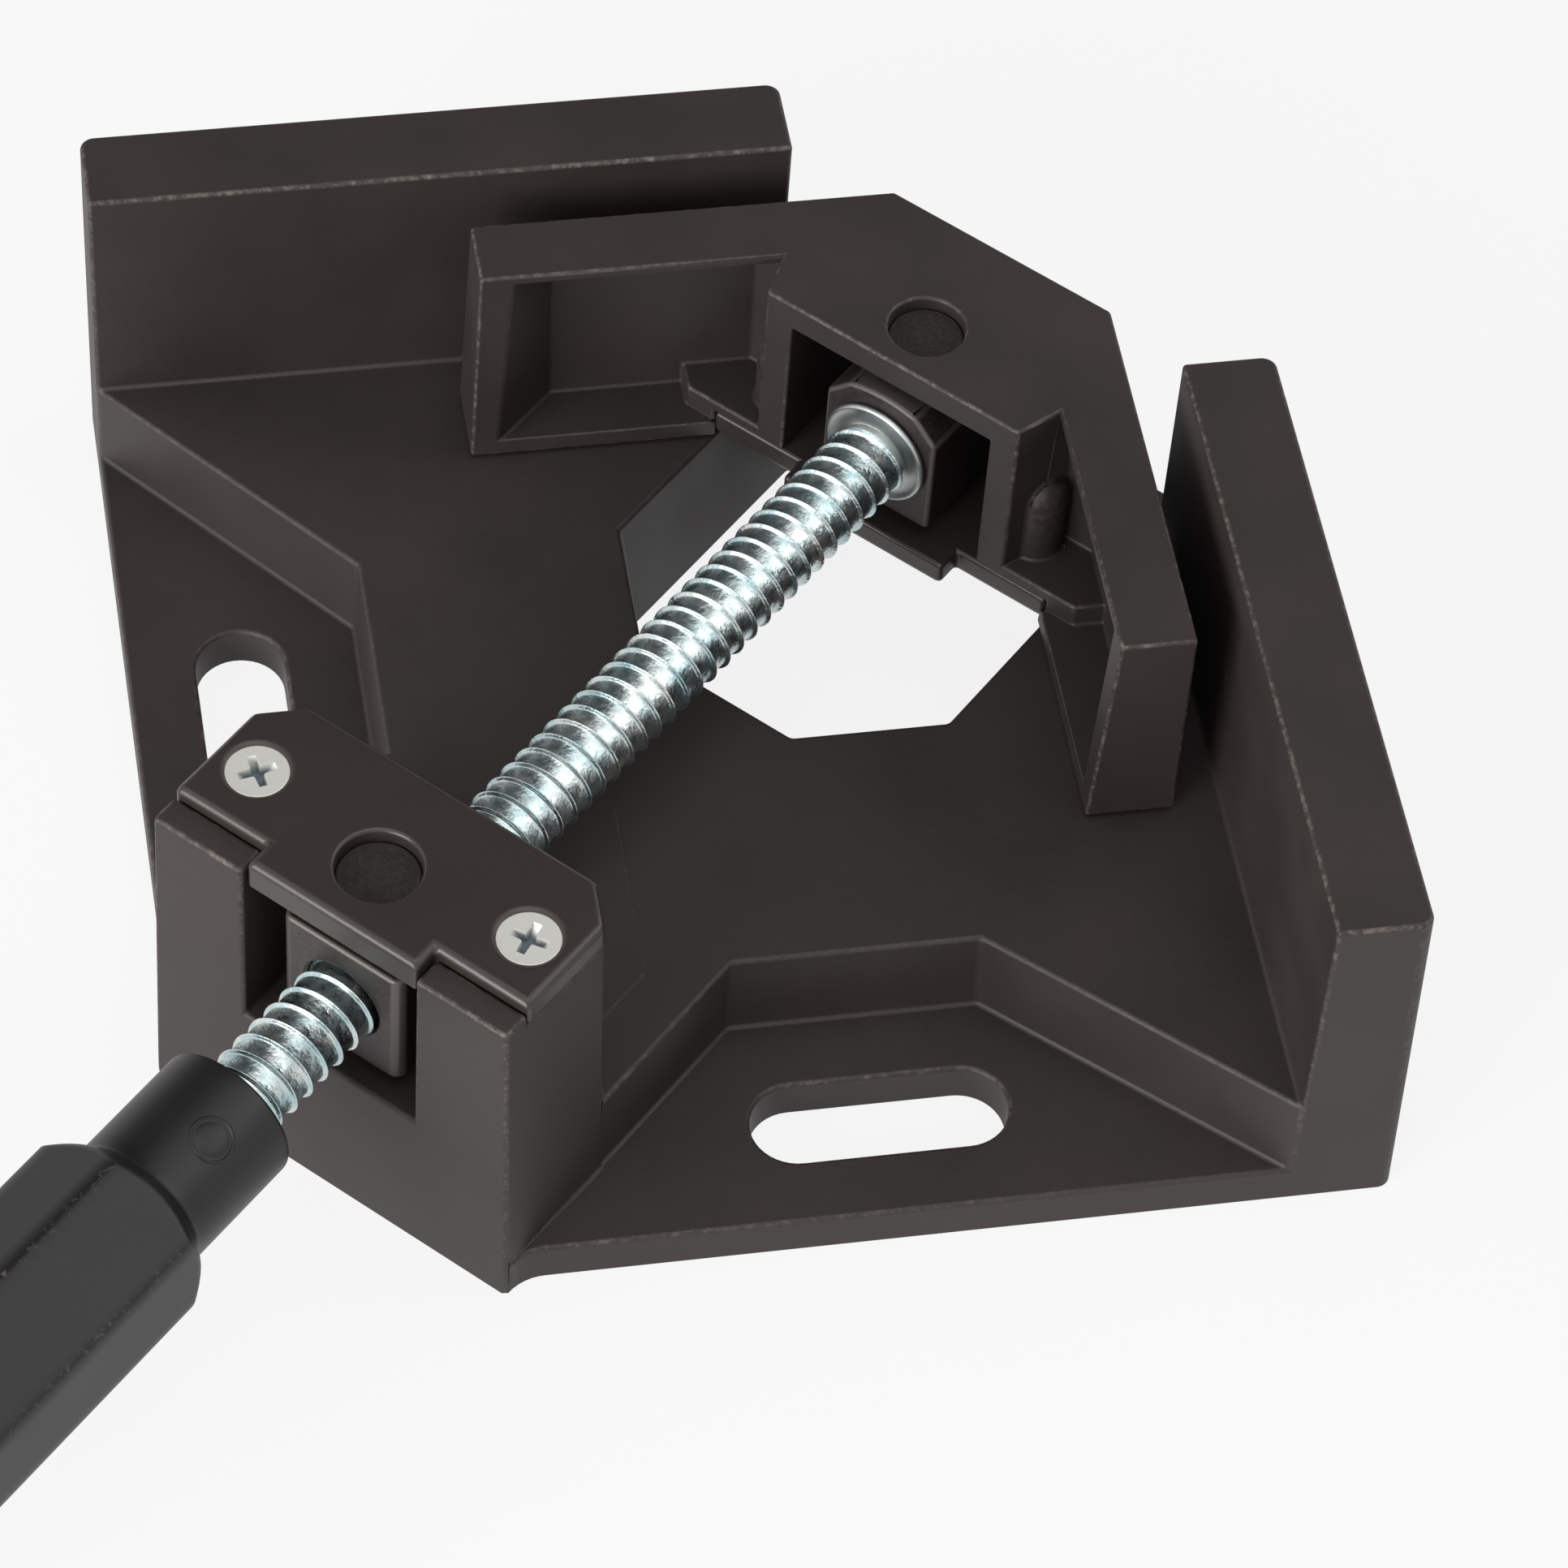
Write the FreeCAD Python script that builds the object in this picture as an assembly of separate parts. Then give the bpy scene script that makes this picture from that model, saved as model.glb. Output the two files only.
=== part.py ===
import FreeCAD, Part
import math
import os
from FreeCAD import Vector

# Corner clamp, in millimetres. The origin is the virtual corner where the inner faces of the two
# fences would meet, at bench level. Fence A runs along -X, fence B along -Y, and +Z is up.
# Everything on the screw lies on the diagonal of the corner.

# Base casting
FENCE_HEIGHT = 56.0
FENCE_LENGTH = 95.0
FENCE_START = 44.5
FENCE_TOP_THICKNESS = 12.5
FENCE_FOOT_THICKNESS = 14.2
FENCE_CORNER_RADIUS = 2.0
FLOOR_HEIGHT = 19.5
FLANGE_HEIGHT = 6.0
RECESS_REACH = 107.8
RECESS_NEAR = 35.7
RECESS_DRAFT = 0.5
WINDOW_REACH = 71.9
WINDOW_MIDDLE = 54.6
WINDOW_NEAR = 33.4
WINDOW_DRAFT = 2.4
BRIDGE_WIDTH = 7.4
WINDOW_FENCE_MARGIN = 6.0
FLOOR_SKIN = 5.0
CORE_WALL = 5.0
CORE_DRAFT = 0.8
RIB_THICKNESS = 4.0
SLOT_LENGTH = 33.7
SLOT_WIDTH = 12.0
SLOT_ALONG = 51.0
SLOT_REACH = 124.3
FOOT_FILLET = 7.0

# Nut tower on the base
NUT_CORNER = 114.75
TOWER_FRONT = 10.1
TOWER_REAR = 14.7
TOWER_TOP_HALF = 27.3
TOWER_FOOT_HALF = 28.4
TOWER_REAR_CHAMFER = 5.0
TOWER_LEDGE_DROP = 1.8
POCKET_HALF = 13.4
PAD_HALF = 20.2
PAD_CORNER = 79.6
PAD_HEIGHT = 0.3

# Cover plates and their countersunk screws
PLATE_THICKNESS = 4.0
PLATE_EDGE_ROUND = 1.2
PLATE_CLEARANCE = 0.15
PLATE_FRONT = 5.7
LIP_REACH = 3.7
LIP_DROP = 1.0
LIP_CLEARANCE = 0.3
COVER_SCREW_EDGE = 6.3
NUT_SCREW_OFFSET = 2.6
SCREW_HEAD_RADIUS = 4.2
SCREW_HEAD_DEPTH = 2.2
SCREW_SHANK_RADIUS = 2.0
SCREW_HOLE_RADIUS = 2.3
SCREW_LENGTH = 13.0
HEAD_CLEARANCE = 0.15

# Nut block
NUT_DEPTH = 15.4
NUT_WIDTH = 18.6
NUT_HEIGHT = 20.0
NUT_EDGE_CHAMFER = 1.0
NUT_TRUNNION_RADIUS = 5.4
TRUNNION_RECESS = 1.8
NUT_TRUNNION_DEPTH = 7.0
NUT_FLOOR_GAP = 1.9

# Swivel joint in the jaw
RUNNING_CLEARANCE = 0.06
SWIVEL_FRONT = 9.6
SWIVEL_REAR = 8.4
SWIVEL_WIDTH = 17.6
SWIVEL_TOP_GAP = 1.2
SWIVEL_FLOOR_GAP = 2.4
SWIVEL_CHAMFER = 3.5
SWIVEL_ARCH = 0.8
SWIVEL_TRUNNION_RADIUS = 5.08

# Lead screw, washers and ring
THREAD_RADIUS = 5.7
JOURNAL_RADIUS = 4.0
WASHER_RADIUS = 7.9
WASHER_RIM = 0.8
WASHER_DOME = 2.0
REAR_WASHER_RADIUS = 7.0
REAR_WASHER_THICKNESS = 1.4
RING_RADIUS = 6.0
RING_GROOVE_RADIUS = 3.2
RING_THICKNESS = 1.2
SEAT_CLEARANCE = 0.05
SCREW_TIP = 1.2
SCREW_TIP_CHAMFER = 0.6

# Jaw casting
REST_GAP = 6.7
JAW_FACE = 24.9
JAW_LEG = 57.6
JAW_LEG_WIDTH = 10.0
JAW_LEG_DRAFT = 1.9
JAW_TIP_DRAFT = 1.0
JAW_BELOW_FENCE = 3.0
JAW_FLOOR_GAP = 0.6
JAW_FRONT = 8.1
JAW_FRONT_HALF = 20.3
JAW_NOTCH = 16.8
JAW_CORNER_CUT = 24.9
JAW_CAVITY_HALF = 16.0
JAW_CAVITY_REAR = 14.0
JAW_ROOF = 4.5
JAW_WALL = 3.6
JAW_RIM = 1.6
JAW_LEG_ROOF = 1.6
JAW_LEG_SILL = 2.6
WEB_THICKNESS = 1.9
WEB_END = 28.3
BOSS_RADIUS = 3.6
BOSS_HEIGHT = 12.0
JAW_SCREW_OFFSET = 1.5
JAW_PLATE_HALF = 27.3
JAW_PLATE_REAR = 12.0
JAW_PLATE_CHAMFER = 9.6
JAW_PLATE_RECESS = 0.2

# Handle
HANDLE_START = 191.7
COLLAR_RADIUS = 9.5
COLLAR_LENGTH = 18.3
COLLAR_EDGE = 0.5
GRIP_LENGTH = 78.0
GRIP_ACROSS_FLATS = 23.6
GRIP_TURNED_RADIUS = 13.3
GRIP_FRONT_TAPER = 3.2
GRIP_END_TAPER = 5.0
HANDLE_BORE_DEPTH = 17.0
PIN_RADIUS = 2.9
PIN_FROM_RIM = 8.9
PIN_TILT = 30.0

ROOT_TWO = math.sqrt(2.0)
UP = Vector(0, 0, 1)
ORIGIN = Vector(0, 0, 0)
ABOVE = 5.0

# Places worked out from the sizes above
FENCE_END = FENCE_START + FENCE_LENGTH
NUT_PLACE = NUT_CORNER * ROOT_TWO
PIVOT_CORNER = REST_GAP + JAW_FACE
PIVOT_PLACE = PIVOT_CORNER * ROOT_TWO
PLATE_TOP = FENCE_HEIGHT
PLATE_SEAT = PLATE_TOP - PLATE_THICKNESS
LIP_HALF = POCKET_HALF - LIP_CLEARANCE
JAW_BOTTOM = FLOOR_HEIGHT + JAW_FLOOR_GAP
JAW_PLATE_BOTTOM = JAW_BOTTOM + JAW_PLATE_RECESS
JAW_PLATE_TOP = JAW_PLATE_BOTTOM + PLATE_THICKNESS
JAW_TOP = FENCE_HEIGHT - JAW_BELOW_FENCE
SWIVEL_BOTTOM = JAW_PLATE_TOP + SWIVEL_FLOOR_GAP
SWIVEL_TOP = JAW_TOP - JAW_ROOF - SWIVEL_TOP_GAP
SWIVEL_HEIGHT = SWIVEL_TOP - SWIVEL_BOTTOM
SCREW_AXIS_HEIGHT = (SWIVEL_TOP + SWIVEL_BOTTOM) / 2
POCKET_FLOOR = SCREW_AXIS_HEIGHT - NUT_HEIGHT / 2 - NUT_FLOOR_GAP
NUT_SCREW_SPREAD = TOWER_TOP_HALF - COVER_SCREW_EDGE
JAW_SCREW_SPREAD = JAW_PLATE_HALF - COVER_SCREW_EDGE
SWIVEL_HOLE_RADIUS = SWIVEL_TRUNNION_RADIUS + RUNNING_CLEARANCE
NUT_HOLE_RADIUS = NUT_TRUNNION_RADIUS + RUNNING_CLEARANCE


def prism(points, low, high):
    """A flat outline of (x, y) corners, raised from one level to another."""
    corners = [Vector(x, y, low) for x, y in points]
    face = Part.Face(Part.makePolygon(corners + corners[:1]))
    return face.extrude(Vector(0, 0, high - low))


def drafted(foot, top, low, high):
    """A block with tapered walls, from a foot outline to a top outline of as many corners."""
    lower = [Vector(x, y, low) for x, y in foot]
    upper = [Vector(x, y, high) for x, y in top]
    loops = [lower, upper]
    for index in range(len(lower)):
        first, second, third, fourth = lower[index - 1], lower[index], upper[index], upper[index - 1]
        across = (second - first).cross(third - first).normalize()
        if abs(across.dot(fourth - first)) < 1e-7:
            loops.append([first, second, third, fourth])
        else:
            loops.append([first, second, third])
            loops.append([first, third, fourth])
    faces = [Part.Face(Part.makePolygon(loop + loop[:1])) for loop in loops]
    return Part.Solid(Part.Shell(faces))


def block(x_low, x_high, y_low, y_high, low, high):
    """A box between six limits."""
    corner = Vector(x_low, y_low, low)
    return Part.makeBox(x_high - x_low, y_high - y_low, high - low, corner)


def round_post(x, y, radius, low, high):
    """An upright cylinder."""
    return Part.makeCylinder(radius, high - low, Vector(x, y, low), UP)


def swap(points):
    """The mirror image of an outline in the diagonal plane, in the same turning sense."""
    return [(y, x) for x, y in reversed(points)]


def mirrored(shape):
    """The mirror image of a solid in the diagonal plane."""
    return shape.mirror(ORIGIN, Vector(1, -1, 0))


def inset(points, distance):
    """An outline, turning anticlockwise, with every side moved inwards by one distance."""
    moved = []
    for index, (x, y) in enumerate(points):
        before = points[index - 1]
        after = points[(index + 1) % len(points)]
        first = Vector(x - before[0], y - before[1], 0).normalize()
        second = Vector(after[0] - x, after[1] - y, 0).normalize()
        turn = 1 + first.dot(second)
        shift = distance / turn
        moved.append((x - (first.y + second.y) * shift, y + (first.x + second.x) * shift))
    return moved


def on_diagonal(shape, place, height=0.0):
    """Takes a piece from its own frame, +X towards the corner, to its place on the diagonal."""
    moved = shape.copy()
    moved.translate(Vector(-place, 0, height))
    moved.rotate(ORIGIN, UP, 45)
    return moved


def turned(profile):
    """A solid of revolution about X, from a closed outline of (x, radius) corners."""
    corners = [Vector(x, 0, radius) for x, radius in profile]
    face = Part.Face(Part.makePolygon(corners + corners[:1]))
    return face.revolve(ORIGIN, Vector(1, 0, 0), 360)


def bar(x_low, x_high, radius):
    """A round bar along X."""
    return Part.makeCylinder(radius, x_high - x_low, Vector(x_low, 0, 0), Vector(1, 0, 0))


def upright_edges(shape, places):
    """The vertical edges of a solid that stand at the given (x, y) places."""
    found = []
    for edge in shape.Edges:
        first, last = edge.Vertexes[0].Point, edge.Vertexes[-1].Point
        if abs(first.z - last.z) < 1.0:
            continue
        for x, y in places:
            if math.hypot(first.x - x, first.y - y) < 0.05 and math.hypot(last.x - x, last.y - y) < 2.0:
                found.append(edge)
    return found


def rim_edges(shape, level):
    """The straight edges of a solid that lie at one level."""
    flat = []
    for edge in shape.Edges:
        box = edge.BoundBox
        if box.ZMax - box.ZMin < 0.001 and abs(box.ZMax - level) < 0.001 and len(edge.Vertexes) == 2:
            flat.append(edge)
    return flat


# Base casting: flange, raised floor, two fences and the nut tower in one piece


def fence():
    """Fence A: a wall along X, square inside and drafted outside, with rounded corners."""
    section = [
        Vector(-FENCE_END, 0, 0),
        Vector(-FENCE_END, FENCE_FOOT_THICKNESS, 0),
        Vector(-FENCE_END, FENCE_TOP_THICKNESS, FENCE_HEIGHT),
        Vector(-FENCE_END, 0, FENCE_HEIGHT),
    ]
    wall = Part.Face(Part.makePolygon(section + section[:1])).extrude(Vector(FENCE_LENGTH, 0, 0))
    outer = [(-FENCE_END, FENCE_FOOT_THICKNESS), (-FENCE_START, FENCE_FOOT_THICKNESS)]
    return wall.makeFillet(FENCE_CORNER_RADIUS, upright_edges(wall, outer))


def tower_side(level):
    """Half the width of the drafted tower at one level."""
    top = FENCE_HEIGHT - TOWER_LEDGE_DROP
    return TOWER_FOOT_HALF + (TOWER_TOP_HALF - TOWER_FOOT_HALF) * level / top


def recess_outline(spread):
    """The floor's edge round the flange's recess, from fence B's near end to the tower."""
    reach = RECESS_REACH + spread
    tower_half = tower_side(FLOOR_HEIGHT)
    far = reach - tower_half * ROOT_TWO
    inner = NUT_PLACE / ROOT_TWO
    shift = tower_half / ROOT_TWO
    return [
        (-inner + shift, -inner - shift),
        (-far, -reach),
        (-RECESS_NEAR + spread, -reach),
        (0, -FENCE_END),
    ]


def floor_outline(spread):
    """The raised floor, seen from above, with the corner cut off between the fences."""
    near = recess_outline(spread)
    inside = FENCE_TOP_THICKNESS / 2
    fence_side = [
        (inside, -FENCE_END),
        (inside, -FENCE_START),
        (FENCE_TOP_THICKNESS, -FENCE_START),
    ]
    return near + fence_side + swap(fence_side) + swap(near)


def flange_outline():
    """The thin flange that the whole casting stands on."""
    tuck = FENCE_END - TOWER_FOOT_HALF * ROOT_TWO
    inside = FENCE_TOP_THICKNESS / 2
    half = [(-tuck, -FENCE_END), (inside, -FENCE_END), (inside, -FENCE_START)]
    return half + swap(half)


def window_outline(draft):
    """The eight-sided window through the floor, smaller towards the bench by its draft."""
    reach = WINDOW_REACH - draft
    middle = WINDOW_MIDDLE - draft * (ROOT_TWO - 1)
    near = WINDOW_NEAR + draft * (ROOT_TWO - 1)
    margin = WINDOW_FENCE_MARGIN + draft
    bridge = FENCE_START - FENCE_TOP_THICKNESS + (BRIDGE_WIDTH + draft) * ROOT_TWO
    half = [
        (-middle, -reach),
        (-near, -reach),
        (-margin, near - margin - reach),
        (-margin, margin - bridge),
    ]
    return half + swap(half)


def underside_core():
    """The hollow under the floor, divided by three ribs and walled off from the window."""
    half = recess_outline(0) + [(0, -(FENCE_START - FENCE_TOP_THICKNESS))]
    outline = half + swap(half)
    roof = FLOOR_HEIGHT - FLOOR_SKIN
    hollow = drafted(inset(outline, CORE_WALL), inset(outline, CORE_WALL + CORE_DRAFT), 0, roof)
    ring = drafted(inset(window_outline(WINDOW_DRAFT), -CORE_WALL),
                   inset(window_outline(0), -CORE_WALL), 0, FLOOR_HEIGHT)
    side = RIB_THICKNESS / 2
    across = block(-WINDOW_MIDDLE - side, -WINDOW_MIDDLE + side, -FENCE_END, -WINDOW_REACH, 0, roof)
    along = on_diagonal(block(-NUT_PLACE / 2, NUT_PLACE / 2, -side, side, 0, roof), NUT_PLACE)
    return hollow.cut([ring, along, across, mirrored(across)])


def slot():
    """A long hole in the flange, through its thickness, with round ends."""
    radius = SLOT_WIDTH / 2
    run = SLOT_LENGTH / 2 - radius
    hole = block(-SLOT_ALONG - run, -SLOT_ALONG + run, -SLOT_REACH - radius, -SLOT_REACH + radius,
                 -ABOVE, FLANGE_HEIGHT + ABOVE)
    for end in (-run, run):
        hole = hole.fuse(round_post(-SLOT_ALONG + end, -SLOT_REACH, radius, -ABOVE, FLANGE_HEIGHT + ABOVE))
    return hole.removeSplitter()


def foot_fillet():
    """The hollow corner where the tower's side runs into the flange's front edge."""
    corner = Vector(-(FENCE_END - TOWER_FOOT_HALF * ROOT_TWO), -FENCE_END, 0)
    along_tower = Vector(-1, -1, 0) / ROOT_TWO
    along_flange = Vector(1, 0, 0)
    half_angle = math.radians(67.5)
    reach = FOOT_FILLET / math.tan(half_angle)
    middle = (along_tower + along_flange).normalize()
    crown = corner + middle * (FOOT_FILLET / math.sin(half_angle) - FOOT_FILLET)
    start = corner + along_tower * reach
    end = corner + along_flange * reach
    inside = corner - middle * FOOT_FILLET
    edges = [
        Part.LineSegment(end, inside).toShape(),
        Part.LineSegment(inside, start).toShape(),
        Part.Arc(start, crown, end).toShape(),
    ]
    return Part.Face(Part.Wire(edges)).extrude(Vector(0, 0, FLANGE_HEIGHT))


def tower():
    """The tower that holds the nut, in its own frame, with chamfered rear corners."""
    outlines = []
    for half in (TOWER_FOOT_HALF, TOWER_TOP_HALF):
        outlines.append([
            (-TOWER_FRONT, -half),
            (TOWER_REAR - TOWER_REAR_CHAMFER, -half),
            (TOWER_REAR, -half + TOWER_REAR_CHAMFER),
            (TOWER_REAR, half - TOWER_REAR_CHAMFER),
            (TOWER_REAR - TOWER_REAR_CHAMFER, half),
            (-TOWER_FRONT, half),
        ])
    return drafted(outlines[0], outlines[1], 0, FENCE_HEIGHT - TOWER_LEDGE_DROP)


def tower_cuts():
    """The nut's pocket, the seat of its cover plate and the holes below them."""
    through = TOWER_REAR + ABOVE
    pocket = block(-through, through, -POCKET_HALF, POCKET_HALF, POCKET_FLOOR, FENCE_HEIGHT)
    beyond = TOWER_TOP_HALF + TOWER_FOOT_HALF
    seat = block(-PLATE_FRONT - PLATE_CLEARANCE, through, -beyond, beyond, PLATE_SEAT, FENCE_HEIGHT)
    socket_floor = SCREW_AXIS_HEIGHT - NUT_HEIGHT / 2 - NUT_TRUNNION_DEPTH - PLATE_CLEARANCE
    cuts = [pocket, seat, round_post(0, 0, NUT_HOLE_RADIUS, socket_floor, POCKET_FLOOR + ABOVE)]
    for side in (-NUT_SCREW_SPREAD, NUT_SCREW_SPREAD):
        low = PLATE_TOP - SCREW_LENGTH - PLATE_CLEARANCE
        cuts.append(round_post(NUT_SCREW_OFFSET, side, SCREW_SHANK_RADIUS, low, FENCE_HEIGHT))
    return cuts


def pad():
    """The faint step on the floor in front of the tower, left by a loose piece of the mould."""
    side = PAD_HALF * ROOT_TWO
    outline = [
        (-PAD_CORNER, -PAD_CORNER),
        (-PAD_CORNER - side, -PAD_CORNER),
        (-NUT_CORNER - side / 2, -NUT_CORNER + side / 2),
        (-NUT_CORNER + side / 2, -NUT_CORNER - side / 2),
        (-PAD_CORNER, -PAD_CORNER - side),
    ]
    return prism(outline, FLOOR_HEIGHT / 2, FLOOR_HEIGHT + PAD_HEIGHT)


def base_casting():
    wall = fence()
    solid = drafted(floor_outline(RECESS_DRAFT), floor_outline(0), 0, FLOOR_HEIGHT)
    flange = prism(flange_outline(), 0, FLANGE_HEIGHT)
    corner = foot_fillet()
    upright = on_diagonal(tower(), NUT_PLACE)
    solid = solid.multiFuse([flange, wall, mirrored(wall), upright, pad(), corner, mirrored(corner)])
    window = drafted(window_outline(WINDOW_DRAFT), window_outline(0), 0, FLOOR_HEIGHT)
    long_hole = slot()
    cuts = [window, long_hole, mirrored(long_hole), underside_core()]
    cuts += [on_diagonal(cut, NUT_PLACE) for cut in tower_cuts()]
    return solid.cut(cuts).removeSplitter()


# Cover plates: one over the nut, one under the jaw


def plate_blank(front, rear, half, chamfer):
    """The outline of a cover plate: chamfered at the rear, with a lip in the middle of the front."""
    lip = front + LIP_REACH
    return [
        (-lip, -LIP_HALF),
        (-front, -LIP_HALF),
        (-front, -half),
        (rear - chamfer, -half),
        (rear, -half + chamfer),
        (rear, half - chamfer),
        (rear - chamfer, half),
        (-front, half),
        (-front, LIP_HALF),
        (-lip, LIP_HALF),
    ]


def cover_plate(outline, hole_radius, screw_offset, screw_spread):
    """A plate with rounded upper edges, a trunnion hole and two countersunk holes, its face at z=0."""
    plate = prism(outline, -PLATE_THICKNESS, 0)
    plate = plate.makeFillet(PLATE_EDGE_ROUND, rim_edges(plate, 0))
    cuts = [round_post(0, 0, hole_radius, -PLATE_THICKNESS - ABOVE, ABOVE)]
    for side in (-screw_spread, screw_spread):
        place = Vector(screw_offset, side, 0)
        sink = Part.makeCone(SCREW_HEAD_RADIUS + HEAD_CLEARANCE, SCREW_SHANK_RADIUS + HEAD_CLEARANCE,
                             SCREW_HEAD_DEPTH + HEAD_CLEARANCE, place, -UP)
        cuts.append(sink)
        cuts.append(round_post(screw_offset, side, SCREW_HOLE_RADIUS, -PLATE_THICKNESS - ABOVE, 0))
    return plate.cut(cuts)


def cover_screw():
    """A countersunk screw whose flat head lies at z=0 and whose shank hangs down."""
    head = Part.makeCone(SCREW_HEAD_RADIUS, SCREW_SHANK_RADIUS, SCREW_HEAD_DEPTH,
                         Vector(0, 0, -HEAD_CLEARANCE), -UP)
    shank = round_post(0, 0, SCREW_SHANK_RADIUS, -SCREW_LENGTH, -SCREW_HEAD_DEPTH)
    return head.fuse(shank).removeSplitter()


def nut_cover_plate():
    outline = plate_blank(PLATE_FRONT, TOWER_REAR, TOWER_TOP_HALF, TOWER_REAR_CHAMFER)
    plate = cover_plate(outline, NUT_HOLE_RADIUS, NUT_SCREW_OFFSET, NUT_SCREW_SPREAD)
    lip = block(-PLATE_FRONT - LIP_REACH, -PLATE_FRONT, -LIP_HALF, LIP_HALF,
                -PLATE_THICKNESS - LIP_DROP, -PLATE_THICKNESS)
    plate = plate.fuse(lip).removeSplitter()
    return on_diagonal(plate, NUT_PLACE, PLATE_TOP)


def nut_cover_screw(side):
    screw = cover_screw()
    screw.translate(Vector(NUT_SCREW_OFFSET, side * NUT_SCREW_SPREAD, 0))
    return on_diagonal(screw, NUT_PLACE, PLATE_TOP)


def underside(shape):
    """Turns a plate or screw over, about the diagonal, so that its face looks down."""
    flipped = shape.copy()
    flipped.rotate(ORIGIN, Vector(1, 0, 0), 180)
    return flipped


def jaw_plate_outline(grow):
    """The jaw's cover plate, grown by a clearance for the seat that it lies in."""
    return plate_blank(JAW_FRONT + grow, JAW_PLATE_REAR + grow, JAW_PLATE_HALF + grow, JAW_PLATE_CHAMFER)


def jaw_cover_plate():
    plate = cover_plate(jaw_plate_outline(0), SWIVEL_HOLE_RADIUS, -JAW_SCREW_OFFSET, JAW_SCREW_SPREAD)
    return on_diagonal(underside(plate), PIVOT_PLACE, JAW_PLATE_BOTTOM)


def jaw_cover_screw(side):
    screw = cover_screw()
    screw.translate(Vector(-JAW_SCREW_OFFSET, side * JAW_SCREW_SPREAD, 0))
    return on_diagonal(underside(screw), PIVOT_PLACE, JAW_PLATE_BOTTOM)


# Nut block and swivel block: each turns on a trunnion above and one below


def nut_block():
    half = NUT_HEIGHT / 2
    cube = block(-NUT_DEPTH / 2, NUT_DEPTH / 2, -NUT_WIDTH / 2, NUT_WIDTH / 2, -half, half)
    corners = [(x, y) for x in (-NUT_DEPTH / 2, NUT_DEPTH / 2) for y in (-NUT_WIDTH / 2, NUT_WIDTH / 2)]
    body = cube.makeChamfer(NUT_EDGE_CHAMFER, upright_edges(cube, corners))
    top = PLATE_TOP - TRUNNION_RECESS - SCREW_AXIS_HEIGHT
    body = body.fuse(round_post(0, 0, NUT_TRUNNION_RADIUS, -half - NUT_TRUNNION_DEPTH, top))
    bore = bar(-NUT_DEPTH, NUT_DEPTH, THREAD_RADIUS + RUNNING_CLEARANCE)
    return on_diagonal(body.cut(bore), NUT_PLACE, SCREW_AXIS_HEIGHT)


def swivel_section():
    """The swivel block's end view: chamfered upper corners under a slightly arched top."""
    half, height = SWIVEL_WIDTH / 2, SWIVEL_HEIGHT / 2
    shoulder = height - SWIVEL_ARCH
    left = Vector(-SWIVEL_FRONT, -half + SWIVEL_CHAMFER, shoulder)
    crown = Vector(-SWIVEL_FRONT, 0, height)
    right = Vector(-SWIVEL_FRONT, half - SWIVEL_CHAMFER, shoulder)
    corners = [
        right,
        Vector(-SWIVEL_FRONT, half, shoulder - SWIVEL_CHAMFER),
        Vector(-SWIVEL_FRONT, half, -height),
        Vector(-SWIVEL_FRONT, -half, -height),
        Vector(-SWIVEL_FRONT, -half, shoulder - SWIVEL_CHAMFER),
        left,
    ]
    edges = [Part.LineSegment(a, b).toShape() for a, b in zip(corners, corners[1:])]
    edges.append(Part.Arc(left, crown, right).toShape())
    return Part.Face(Part.Wire(edges))


def swivel_block():
    body = swivel_section().extrude(Vector(SWIVEL_FRONT + SWIVEL_REAR, 0, 0))
    top = JAW_TOP - TRUNNION_RECESS - SCREW_AXIS_HEIGHT
    bottom = JAW_PLATE_BOTTOM + TRUNNION_RECESS - SCREW_AXIS_HEIGHT
    body = body.fuse(round_post(0, 0, SWIVEL_TRUNNION_RADIUS, bottom, top))
    bore = bar(-2 * SWIVEL_FRONT, 2 * SWIVEL_FRONT, JOURNAL_RADIUS + RUNNING_CLEARANCE)
    return on_diagonal(body.cut(bore), PIVOT_PLACE, SCREW_AXIS_HEIGHT)


# Lead screw and what is fixed to it. In this frame x=0 is the jaw's pivot and -X is the handle.

WASHER_FACE = -SWIVEL_FRONT - SEAT_CLEARANCE
REAR_WASHER_START = SWIVEL_REAR + SEAT_CLEARANCE
RING_START = REAR_WASHER_START + REAR_WASHER_THICKNESS
SCREW_END = RING_START + RING_THICKNESS + SCREW_TIP
HANDLE_RIM = PIVOT_PLACE - HANDLE_START
SCREW_START = HANDLE_RIM - HANDLE_BORE_DEPTH
PIN_PLACE = HANDLE_RIM - PIN_FROM_RIM


def screw_piece(shape):
    return on_diagonal(shape, PIVOT_PLACE, SCREW_AXIS_HEIGHT)


def pin_hole(radius):
    """The cross pin's cylinder through the collar and the screw."""
    tilt = math.radians(PIN_TILT)
    along = Vector(0, -math.sin(tilt), math.cos(tilt))
    reach = 2 * COLLAR_RADIUS
    start = Vector(PIN_PLACE, 0, 0) - along * reach
    return Part.makeCylinder(radius, 2 * reach, start, along)


def lead_screw():
    """The screw's major diameter, its journal in the swivel block and the groove for the ring."""
    thread_end = WASHER_FACE - WASHER_DOME
    profile = [
        (SCREW_START, 0),
        (SCREW_START, THREAD_RADIUS),
        (thread_end, THREAD_RADIUS),
        (thread_end, JOURNAL_RADIUS),
        (RING_START, JOURNAL_RADIUS),
        (RING_START, RING_GROOVE_RADIUS),
        (RING_START + RING_THICKNESS, RING_GROOVE_RADIUS),
        (RING_START + RING_THICKNESS, JOURNAL_RADIUS),
        (SCREW_END - SCREW_TIP_CHAMFER, JOURNAL_RADIUS),
        (SCREW_END, JOURNAL_RADIUS - SCREW_TIP_CHAMFER),
        (SCREW_END, 0),
    ]
    return screw_piece(turned(profile).cut(pin_hole(PIN_RADIUS)))


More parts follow.
